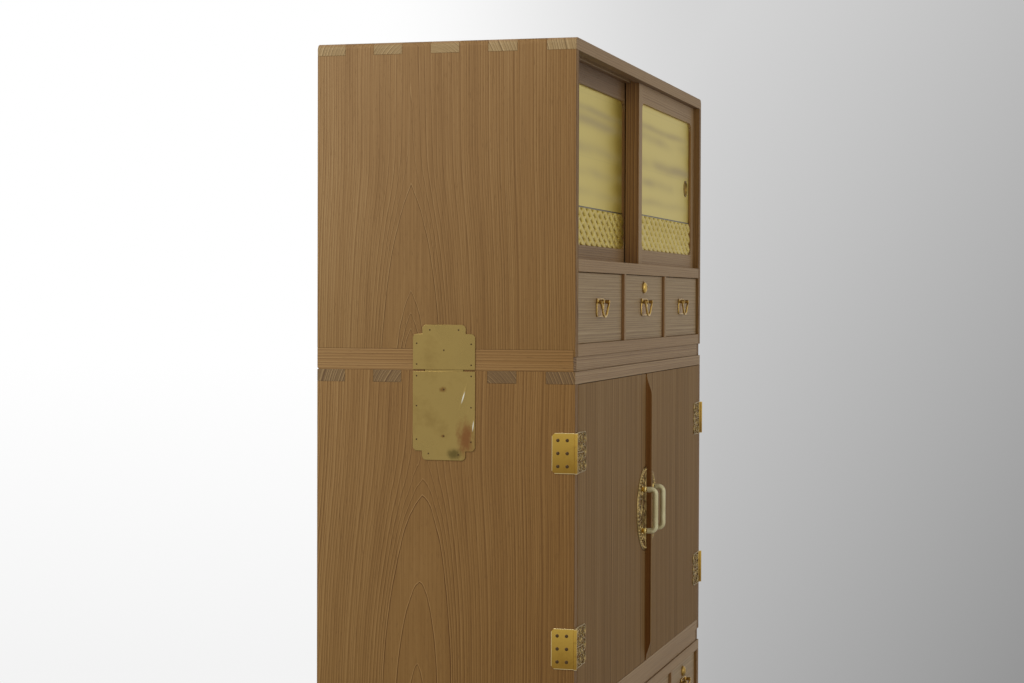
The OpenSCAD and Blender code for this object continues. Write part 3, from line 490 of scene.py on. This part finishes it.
def darkIron():
    g = Graph("dark screw iron")
    spot = g.noise(g.where, 500, 3)
    return g.finish(baseColor=g.mix(spot, srgb(58, 42, 24), srgb(92, 68, 38)), metallic=0.7,
                    roughness=g.fit(spot, 0, 1, 0.35, 0.55))


metals["iron"] = darkIron()
print("metals are mixed")


# copies of CAD nodes, their doubles merged and their edges eased
def everything(mesh):
    return mesh.verts[:] + mesh.edges[:] + mesh.faces[:]


def islandsOf(mesh):
    left, found = set(mesh.faces), []
    while left:
        seed = left.pop()
        group, queue = [seed], [seed]
        while queue:
            for edge in queue.pop().edges:
                for face in edge.link_faces:
                    if face in left:
                        left.remove(face)
                        group.append(face)
                        queue.append(face)
        found.append(group)
    return found


def easedCopy(nodeName, materials, ease, slotName, pick=None, smooth=0, cuts=()):
    source = nodes[nodeName]
    data = source.data.copy()
    mesh = bmesh.new()
    mesh.from_mesh(data)
    bmesh.ops.remove_doubles(mesh, verts=mesh.verts, dist=1e-6)
    bmesh.ops.dissolve_limit(mesh, angle_limit=radians(0.5), verts=mesh.verts, edges=mesh.edges)
    for place, normal in cuts:
        bmesh.ops.bisect_plane(mesh, geom=everything(mesh), plane_co=place, plane_no=normal)
    for face in mesh.faces:
        face.smooth = smooth > 0
    for edge in mesh.edges:
        edge.smooth = len(edge.link_faces) == 2 and edge.calc_face_angle(0) < radians(smooth)
    if pick:
        for group in islandsOf(mesh):
            low = Vector(min(v.co[i] for f in group for v in f.verts) for i in range(3))
            high = Vector(max(v.co[i] for f in group for v in f.verts) for i in range(3))
            for face in group:
                face.material_index = pick(low, high, face.calc_center_median())
    data.materials.clear()
    for material in materials:
        data.materials.append(material)
    mesh.to_mesh(data)
    mesh.free()
    piece = bpy.data.objects.new(nodeName + ".eased", data)
    bpy.context.scene.collection.objects.link(piece)
    if ease > 0:
        bevel = piece.modifiers.new("ease", "BEVEL")
        bevel.width = ease
        bevel.segments = 2
        bevel.limit_method = "ANGLE"
        bevel.angle_limit = radians(40)
        bevel.use_clamp_overlap = True
    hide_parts(nodeName)
    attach(piece, source["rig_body"])
    return piece


slots = {entry["node"]: entry["material_slot"] for entry in frame["record"]["subparts"]}


def dress(nodeName, names, ease, **more):
    names = (names,) if isinstance(names, str) else names
    return easedCopy(nodeName, [woods.get(n) or metals[n] for n in names], ease * mm, slots[nodeName], **more)


boards = dict(
    upper_sides="upperSide", middle_sides="middleSide", lower_sides="lowerSide",
    upper_bottom_board="acrossFront", middle_bottom_board="acrossFront", lower_bottom_board="innerWood",
    upper_shelf="acrossFront", upper_dividers="uprightFront",
    upper_back_panel="backWood", middle_back_panel="backWood", lower_back_panel="backWood",
    tray_runners="innerWood", door_left_board="doorWood", door_right_board="doorWood")
for nodeName, wood in boards.items():
    dress(nodeName, wood, 0.7)
sideThick = 20.5 * mm
for level, wood in (("upper", "topWood"), ("middle", "boardWood"), ("lower", "boardWood")):
    dress(level + "_top_board", (wood, "acrossFront"), 0.7,
          pick=lambda low, high, mid: 1 if mid.y < caseFront + 0.5 * mm else 0)
    dress(level + "_plinth", ("acrossFront", "sideRail"), 0.9,
          pick=lambda low, high, mid: 1 if abs(mid.x) > caseRight - sideThick else 0)
dress("lower_shelves", ("acrossFront", "uprightFront"), 0.8,
      pick=lambda low, high, mid: 1 if high.z - low.z > 50 * mm else 0)
for number in range(1, 5):
    dress(f"tray_{number}", "innerWood", 0.8)
for drawer in ("upper_drawer_1", "upper_drawer_2", "upper_drawer_3", "wide_drawer", "lock_drawer",
               "long_drawer_1", "long_drawer_2"):
    front = box(drawer + "_box")[0].y
    dress(drawer + "_box", ("drawerWood", "boxWood"), 0.8,
          pick=lambda low, high, mid: 0 if low.y < front + 2 * mm else 1)
stile = 28 * mm
for side, railWood in (("left", "shadedFront"), ("right", "acrossFront")):
    low, high = box(f"slide_{side}_frame")
    start, end = low.x + stile, high.x - stile
    cuts = [(Vector((x, 0, 0)), Vector((1, 0, 0))) for x in (start, end)]
    dress(f"slide_{side}_frame", (railWood, "uprightFront"), 0.8, cuts=cuts,
          pick=lambda low, high, mid: 0 if start < mid.x < end else 1)
print("boards are eased")


# 0 for posts, 1 for the plate of a pull, 2 for the domed keyhole plate
def fittingFinish(back):
    def pick(low, high, mid):
        if high.z - low.z < 28 * mm and high.x - low.x < 24 * mm:
            return 2
        return 1 if mid.y > back - 1.7 * mm else 0
    return pick


for nodeName in nodes:
    if nodeName.endswith("_joint_plates"):
        dress(nodeName, "plate", 0.35, smooth=30)
    elif nodeName == "hinge_side_leaves":
        dress(nodeName, "hinge", 0.6, smooth=30)
    elif nodeName.endswith("_cup"):
        dress(nodeName, "cup", 0, smooth=32)
    elif "_bail" in nodeName:
        dress(nodeName, "pull", 0, smooth=32)
    elif "drawer" in nodeName and nodeName.endswith("_fittings"):
        dress(nodeName, ("pull", "patina", "lock"), 0, smooth=32, pick=fittingFinish(box(nodeName)[1].y))
    elif nodeName.endswith("_handle"):
        dress(nodeName, "cream", 0, smooth=40)
for side in ("left", "right"):
    low, high = box(f"slide_{side}_panel")
    gold = goldLeaf(f"{side} gold leaf", low.z + leafing["fieldUp"], leafing)
    easedCopy(f"slide_{side}_panel", [gold], 0.3 * mm, "gold_leaf", smooth=30)
print("metals are on")


# turned details: nails, screws, beads and posts
def spinInto(mesh, profile, place, aim, steps):
    # the profile holds (radius, height) pairs, heights run along aim
    turn = Vector((0, 0, 1)).rotation_difference(Vector(aim)).to_matrix().to_4x4()
    where = Matrix.Translation(place) @ turn
    verts = [mesh.verts.new(where @ Vector((r, 0, h))) for r, h in profile]
    edges = [mesh.edges.new(pair) for pair in zip(verts, verts[1:])]
    bmesh.ops.spin(mesh, geom=verts + edges, cent=where @ Vector(), axis=Vector(aim), angle=2 * pi, steps=steps,
                   use_merge=True)


def finishMesh(mesh, name, material, body, smooth=35):
    bmesh.ops.remove_doubles(mesh, verts=mesh.verts, dist=2e-6)
    bmesh.ops.recalc_face_normals(mesh, faces=mesh.faces)
    for face in mesh.faces:
        face.smooth = True
    for edge in mesh.edges:
        edge.smooth = len(edge.link_faces) == 2 and edge.calc_face_angle(0) < radians(smooth)
    data = bpy.data.meshes.new(name)
    mesh.to_mesh(data)
    mesh.free()
    data.materials.append(material)
    piece = bpy.data.objects.new(name, data)
    bpy.context.scene.collection.objects.link(piece)
    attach(piece, body)


nail = dict(radius=1.35 * mm, height=0.7 * mm, foot=0.3 * mm, steps=12)
screw = dict(radius=2.9 * mm, height=0.8 * mm, foot=0.4 * mm, steps=16)


def head(n):
    r, h = n["radius"], n["height"]
    return [(0, h), (0.45 * r, h * 0.92), (0.8 * r, h * 0.6), (r, h * 0.12), (r, -n["foot"])]


# millimetres from the middle of the case and from the joint, hand driven and so a little uneven
plateNails = dict(
    above=[(24, 66), (-25, 66), (46.5, 44), (-46.5, 43), (46.5, 10), (-46.5, 9), (0, 33)],
    below=[(46.5, -9), (-46.5, -9), (46.5, -58), (-46.5, -60), (46.5, -113), (-46.5, -116), (26, -136), (-25, -137),
           (0, -31), (0, -107)])
plateFace = 1.6 * mm
for body, jobs in (("upper_chest", [(upperJoint, "above")]),
                   ("middle_chest", [(upperJoint, "below"), (lowerJoint, "above")]),
                   ("lower_chest", [(lowerJoint, "below")])):
    mesh = bmesh.new()
    for joint, kind in jobs:
        for y, z in plateNails[kind]:
            for outside, aim in ((caseLeft - plateFace, -1), (caseRight + plateFace, 1)):
                place = Vector((outside, caseMid + y * mm, joint + z * mm))
                spinInto(mesh, head(nail), place, (aim, 0, 0), nail["steps"])
    finishMesh(mesh, body + ".plate_nails", metals["iron"], body)
leafFace = 1.5 * mm
mesh = bmesh.new()
for z in hingeHeights:
    for inward in (12.4, 27.9):
        for up in (-21, 0, 21):
            for outside, aim in ((caseLeft - leafFace, -1), (caseRight + leafFace, 1)):
                place = Vector((outside, caseFront + inward * mm, z + up * mm))
                spinInto(mesh, head(screw), place, (aim, 0, 0), screw["steps"])
finishMesh(mesh, "hinge_screws", metals["iron"], "middle_chest")
print("nails are in")


# tendrils: tapered curves, flattened onto the plane of a plate
def tendrils(strokes, toWorld, flat):
    data = bpy.data.curves.new("strokes", "CURVE")
    data.dimensions = "3D"
    data.bevel_depth = 1.0
    data.bevel_resolution = 1
    data.use_fill_caps = True
    for points in strokes:
        spline = data.splines.new("POLY")
        spline.points.add(len(points) - 1)
        for point, (a, b, r) in zip(spline.points, points):
            point.co = (a, b, 0, 1)
            point.radius = r
    drawn = bpy.data.objects.new("strokes", data)
    mesh = bmesh.new()
    flatMesh = bpy.data.meshes.new_from_object(drawn)
    mesh.from_mesh(flatMesh)
    bpy.data.objects.remove(drawn)
    bpy.data.meshes.remove(flatMesh)
    for vert in mesh.verts:
        vert.co = toWorld(vert.co.x, vert.co.y, vert.co.z * flat)
    return mesh


# raised rims of the pull plates and collars round their posts
pull = dict(wide=50.4 * mm, high=29.4 * mm, corner=7 * mm, rim=1.1 * mm, flat=0.9, pivotUp=9.6 * mm, rod=2 * mm,
            post=21 * mm, plate=1.5 * mm, collar=[(4.2, 0), (5.2, 0.5), (5.4, 1.2), (4.8, 1.8), (3.2, 2.2)])


def rimStrokes(p):
    points = []
    for a, b, start in ((1, 1, 0), (-1, 1, 90), (-1, -1, 180), (1, -1, 270)):
        for i in range(7):
            angle = radians(start + 15 * i)
            points.append((a * (p["wide"] / 2 - p["corner"]) + p["corner"] * cos(angle),
                           b * (p["high"] / 2 - p["corner"]) + p["corner"] * sin(angle), p["rim"]))
    return [points + points[:1]]


for nodeName in nodes:
    if "_bail" in nodeName:
        drawer = nodeName[:nodeName.index("_bail")]
        low, high = box(nodeName)
        x, z = (low.x + high.x) / 2, high.z - pull["rod"] - pull["pivotUp"]
        face = box(drawer + "_box")[0].y - pull["plate"]
        rim = tendrils(rimStrokes(pull), lambda a, b, c: Vector((x + a, face + c, z + b)), pull["flat"])
        for s in (-1, 1):
            foot = Vector((x + s * pull["post"], face + 0.3 * mm, z + pull["pivotUp"]))
            spinInto(rim, [(r * mm, h * mm) for r, h in pull["collar"]], foot, (0, -1, 0), 20)
        finishMesh(rim, nodeName.replace("_bail", ".pull_rim"), metals["pull"], drawer, 50)


# scrollwork of the door fittings
def spiral(a, b, r, start, turns, thick, hand=1):
    count = int(16 * turns) + 2
    points = []
    for i in range(count):
        t = i / (count - 1)
        angle = radians(start) + hand * 2 * pi * turns * t
        radius = r * (1 - 0.80 * t)
        points.append((a + radius * cos(angle), b + radius * sin(angle), thick * (1 - 0.35 * t)))
    return points


def arc(a, b, r, start, end, thick, count=14):
    angles = [radians(start + (end - start) * i / count) for i in range(count + 1)]
    return [(a + r * cos(angle), b + r * sin(angle), thick) for angle in angles]


leaf = dict(plainStrip=12 * mm, sunk=0.75 * mm, flat=0.75)


def frontLeafStrokes():
    # millimetres from the case corner and from the middle of the leaf
    strokes = []
    for s in (-1, 1):
        strokes += [
            [(11, s * 32.4, 1.3), (30, s * 32.6, 1.0), (46, s * 32.2, 1.0), (58, s * 31.6, 1.0)],
            arc(62.6, s * 22.2, 9.9, s * 115, s * -62, 1.15),
            spiral(62.0, s * 22.0, 6.8, s * 120, 1.5, 1.0, -s),
            spiral(43.5, s * 22.5, 8.2, s * 60, 1.6, 1.0, s),
            spiral(23.0, s * 23.5, 7.8, s * 100, 1.6, 1.0, s),
            spiral(50.0, s * 9.0, 6.2, s * -150, 1.5, 0.95, -s),
            spiral(33.5, s * 9.8, 7.2, s * 30, 1.6, 0.95, -s),
            spiral(18.5, s * 8.5, 6.0, s * 170, 1.5, 0.95, s),
            arc(36, s * 2, 27, s * 96, s * 152, 0.9), arc(52, s * 16, 7, s * -120, s * 30, 0.9),
        ]
        for a, b in ((53, 28), (33.5, 27.5), (14.5, 29), (53.5, 16.5), (33, 18.5), (14, 16.5), (42, 3.2), (26, 3)):
            strokes.append([(a - 1.6, s * b, 0.5), (a, s * (b + 0.5), 1.7), (a + 1.6, s * b, 0.5)])
    strokes += [arc(62.6, 0, 9.9, -118, 118, 1.15, 18), spiral(63.0, 0, 6.4, 160, 1.6, 1.0, 1),
                [(11, -33, 1.2), (11.4, 0, 1.1), (11, 33, 1.2)],
                [(12, 0, 0.9), (26, 0.6, 0.9), (40, -0.4, 0.9), (54, 0, 0.9)]]
    return [[(a * mm, b * mm, r * mm) for a, b, r in points] for points in strokes]


def discStrokes(radius):
    # outward from the straight edge and up from the middle, in millimetres on a plate of this radius
    drawn = 73
    strokes = [arc(0, 0, 71.3, -90, 90, 1.2, 48), arc(0, 0, 63.5, -88, 88, 0.9, 40), [(1.4, -70, 1.3), (1.4, 70, 1.3)]]
    for i in range(5):
        angle = radians(-72 + 36 * i)
        a, b = 50 * cos(angle), 50 * sin(angle)
        hand = 1 if i % 2 else -1
        strokes.append(spiral(a, b, 12.4, -72 + 36 * i + 90 * hand, 1.9, 1.15, hand))
        strokes.append(spiral(a, b, 5.5, -72 + 36 * i - 60 * hand, 1.2, 0.9, -hand))
        for off in (-14, 14):
            lean = angle + radians(off)
            strokes.append([(r * cos(lean), r * sin(lean), thick) for r, thick in ((60, 0.6), (56, 1.8), (50, 0.6))])
    for i in range(3):
        angle = radians(-56 + 56 * i)
        a, b = 24 * cos(angle), 24 * sin(angle)
        strokes.append(spiral(a, b, 9.6, -56 + 56 * i + 180, 1.7, 1.05, 1 if i % 2 else -1))
    strokes.append(arc(0, 0, 36, -86, 86, 1.0, 26))
    strokes.append(arc(0, 0, 12, -84, 84, 1.0, 12))
    grow = radius / drawn
    return [[(a * grow, b * grow, r * mm) for a, b, r in points] for points in strokes]


disc = dict(height=upperJoint - 0.271, radius=79 * mm, sunk=0.9 * mm, flat=0.8,
            beadRing=72.6 * mm, beads=31, bead=[(0, 3.0), (1.5, 2.6), (2.6, 1.5), (3.0, 0)])
post = dict(profile=[(0, 11.0), (2.2, 11.0), (3.2, 10.6), (3.4, 10.2), (3.0, 9.9), (4.6, 9.2), (5.7, 7.6), (6.0, 5.8),
                     (5.6, 4.2), (4.2, 3.0), (3.4, 2.7), (4.6, 2.4), (6.0, 2.1), (7.0, 1.6), (7.0, 0)],
            spread=38 * mm)
for side, s in (("left", 1), ("right", -1)):
    body = f"door_{side}"
    corner = caseLeft if side == "left" else caseRight
    copy = easedCopy(body + "_fittings", [metals["hinge"]], 0, "gilt_brass", smooth=32)
    mesh = bmesh.new()
    mesh.from_mesh(copy.data)
    # only the plain strip beside the knuckles is kept of the copy, scrollwork takes the place of the rest
    strip = corner + s * leaf["plainStrip"]
    bmesh.ops.bisect_plane(mesh, geom=everything(mesh), plane_co=(strip, 0, 0), plane_no=(s, 0, 0), clear_outer=True)
    bmesh.ops.holes_fill(mesh, edges=[e for e in mesh.edges if e.is_boundary])
    mesh.to_mesh(copy.data)
    mesh.free()
    for number, z in enumerate(hingeHeights):
        scroll = tendrils(frontLeafStrokes(),
                          lambda a, b, c: Vector((corner + s * a, doorFace - leaf["sunk"] + c, z + b)), leaf["flat"])
        finishMesh(scroll, f"{body}.scroll_leaf_{number + 1}", metals["scroll"], body, 50)
    low, high = box(body + "_handle")
    middle = (low.x + high.x) / 2
    low, high = box(body + "_fittings")
    inner = high.x if side == "left" else low.x
    scroll = tendrils(discStrokes(disc["radius"]),
                      lambda a, b, c: Vector((inner - s * a, doorFace - disc["sunk"] + c, disc["height"] + b)),
                      disc["flat"])
    ring = disc["beadRing"]
    for i in range(disc["beads"]):
        angle = radians(-87 + 174 * i / (disc["beads"] - 1))
        place = Vector((inner - s * ring * cos(angle), doorFace - 0.6 * mm, disc["height"] + ring * sin(angle)))
        spinInto(scroll, [(r * mm, h * mm) for r, h in disc["bead"]], place, (0, -1, 0), 10)
    finishMesh(scroll, body + ".scroll_disc", metals["disc"], body, 50)
    posts = bmesh.new()
    for up in (-1, 1):
        place = Vector((middle, doorFace, disc["height"] + up * post["spread"]))
        spinInto(posts, [(r * mm, h * mm) for r, h in post["profile"]], place, (0, -1, 0), 28)
    finishMesh(posts, body + ".handle_posts", metals["post"], body, 40)
print("scrollwork is set")


# raised lattice in the lower field of the gilt panels
# bars give the half width and the rise of the bars that lean left (-1) and right (1)
lattice = dict(cell=(41 * mm, 20.6 * mm), bars={-1: (8.5 * mm, 3.6 * mm), 1: (4.6 * mm, 3.0 * mm)},
               lip=8 * mm, crown=71.4 * mm, over=10 * mm, sunk=1.2 * mm,
               arch=((-1, -0.3), (-0.9, 0.25), (-0.5, 0.8), (0, 1.0), (0.5, 0.8), (0.9, 0.25), (1, -0.3)))


def makeLattice(side, l):
    low, high = box(f"slide_{side}_panel")
    left, right, foot, crown = low.x + l["lip"], high.x - l["lip"], low.z + l["lip"], low.z + l["crown"]
    start, top = foot - l["over"], crown + l["over"]
    face = low.y + l["sunk"]
    mesh = bmesh.new()
    width, tall = l["cell"]
    steep = (top - start) / tall * width
    count = int((right - left + steep) / width) + 2
    for lean, (bar, rise) in l["bars"].items():
        for i in range(count):
            x = left - steep + i * width if lean > 0 else left + i * width
            a, b = Vector((x, 0, start)), Vector((x + lean * steep, 0, top))
            along = (b - a).normalized()
            across = Vector((along.z, 0, -along.x))
            ring = [a + across * bar * u + Vector((0, face - rise * v, 0)) for u, v in l["arch"]]
            verts = [mesh.verts.new(p) for p in ring]
            edges = [mesh.edges.new(pair) for pair in zip(verts, verts[1:])]
            grown = bmesh.ops.extrude_edge_only(mesh, edges=edges)
            far = [v for v in grown["geom"] if isinstance(v, bmesh.types.BMVert)]
            bmesh.ops.translate(mesh, verts=far, vec=b - a)
    # trimmed at the four edges of the field
    for place, normal in (((left, 0, 0), (-1, 0, 0)), ((right, 0, 0), (1, 0, 0)),
                          ((0, 0, foot), (0, 0, -1)), ((0, 0, crown), (0, 0, 1))):
        bmesh.ops.bisect_plane(mesh, geom=everything(mesh), plane_co=place, plane_no=normal, clear_outer=True)
    finishMesh(mesh, f"slide_{side}.lattice", metals["lattice"], f"slide_{side}", 60)


def latticeLeaf():
    g = Graph("lattice gold leaf")
    cloud = g.noise(g.where, 60, 3)
    colour = g.mix(cloud, leafing["gold"], srgb(186, 160, 76))
    return g.finish(baseColor=colour, metallic=0.8, roughness=g.fit(cloud, 0.3, 0.7, 0.3, 0.42),
                    normal=g.bump(cloud, 0.05, 0.0006))


metals["lattice"] = latticeLeaf()
for side in ("left", "right"):
    makeLattice(side, lattice)
print("lattice is raised")


# studio: pale floor that fades out, soft window light, white to grey background
studio = dict(
    lit=0.55, dim=0.26, heading=15.4, paper=(0.70, 0.69, 0.65), behind=(0.60, 0.60, 0.58),
    floorRadius=2.8, floorTone=(0.74, 0.75, 0.74), floorCloud=(0.70, 0.71, 0.70),
    lamps=dict(window=dict(place=(-2.6, 1.7, 2.9), aim=(-0.5, 0, 1.2), size=1.8, power=46, tone=(1.0, 0.99, 0.96)),
               room=dict(place=(-1.8, -4.0, 2.3), aim=(0, -0.2, 1.1), size=2.6, power=19, tone=(0.98, 0.99, 1.0))))


def makeStudio(s):
    world = bpy.data.worlds.new("studio")
    bpy.context.scene.world = world
    bpy.context.scene.view_settings.view_transform = "Standard"
    g = Graph("studio", world)
    out = g.tree.nodes.new("ShaderNodeOutputWorld")
    toward = g.add("ShaderNodeTexCoord", out="Generated")
    turn = radians(s["heading"])

    def along(x, y, z):
        return g.add("ShaderNodeVectorMath", dict(operation="DOT_PRODUCT"), {0: toward, 1: (x, y, z)}, out="Value")

    left = along(-sin(turn), cos(turn), 0)
    ahead = along(cos(turn), sin(turn), 0)
    high = along(0, 0, 1)
    grey = 0.50 + high * 0.7 + (left + 0.16) * 1.1
    grey = g.maths("MINIMUM", g.maths("MAXIMUM", grey, 0.30), 0.66)
    white = g.fit(left, -0.10, 0.07, 0, 1, True)
    pale = g.fit(high, -0.17, -0.03, 0.90, 1.0)
    seen = g.mix(white, grey, pale)
    seen = g.mix(g.fit(left, -0.27, -0.42, 0, 1, True), seen, s["paper"])
    seen = g.mix(g.fit(ahead, -0.5, 0.7, 0.0, 1.0, True), s["behind"], seen)
    side = along(-0.80, 0.42, 0.42)
    light = g.fit(side, -0.8, 0.9, s["dim"], s["lit"], True)
    cool = g.mix(light, (0.97, 1.0, 1.0), (1.0, 0.99, 0.97))
    rays = g.add("ShaderNodeLightPath", out="Is Camera Ray")
    shown = g.maths("MAXIMUM", rays, Wire(g, rays.socket.node.outputs["Is Glossy Ray"]))
    shown = g.maths("MAXIMUM", shown, Wire(g, rays.socket.node.outputs["Is Transmission Ray"]))
    glow = g.add("ShaderNodeBackground", None, {0: cool, 1: light})
    backdrop = g.add("ShaderNodeBackground", None, {0: seen, 1: 1.0})
    pick = g.add("ShaderNodeMixShader", None, {0: shown, 1: glow, 2: backdrop})
    g.tree.links.new(pick.socket, out.inputs[0])


def hangLamp(name, l):
    data = bpy.data.lights.new(name, "AREA")
    data.shape = "RECTANGLE"
    data.size = data.size_y = l["size"]
    data.energy = l["power"]
    data.color = l["tone"]
    lamp = bpy.data.objects.new(name, data)
    bpy.context.scene.collection.objects.link(lamp)
    lamp.location = l["place"]
    lamp.rotation_euler = (Vector(l["aim"]) - Vector(l["place"])).to_track_quat("-Z", "Y").to_euler()
    lamp.visible_camera = False


def makeFloor(s):
    mesh = bmesh.new()
    bmesh.ops.create_circle(mesh, cap_ends=True, segments=96, radius=s["floorRadius"])
    data = bpy.data.meshes.new("floor")
    mesh.to_mesh(data)
    mesh.free()
    floor = bpy.data.objects.new("floor", data)
    bpy.context.scene.collection.objects.link(floor)
    g = Graph("floor")
    tint = g.noise(g.where, 0.9, 3)
    material = g.finish(baseColor=g.mix(tint, s["floorTone"], s["floorCloud"]), roughness=0.8)
    far = g.maths("SQRT", g.x * g.x + g.y * g.y)
    clear = g.add("ShaderNodeBsdfTransparent")
    # the floor fades out at its rim
    fading = g.fit(far, s["floorRadius"] * 0.55, s["floorRadius"] * 0.98, 0, 1, True)
    fade = g.add("ShaderNodeMixShader", None, {0: fading, 1: Wire(g, g.shader.outputs[0]), 2: clear})
    g.tree.links.new(fade.socket, g.tree.nodes["Material Output"].inputs[0])
    data.materials.append(material)


makeStudio(studio)
makeFloor(studio)
for name, settings in studio["lamps"].items():
    hangLamp(name, settings)
makeCamera(camera)
print("studio is lit")
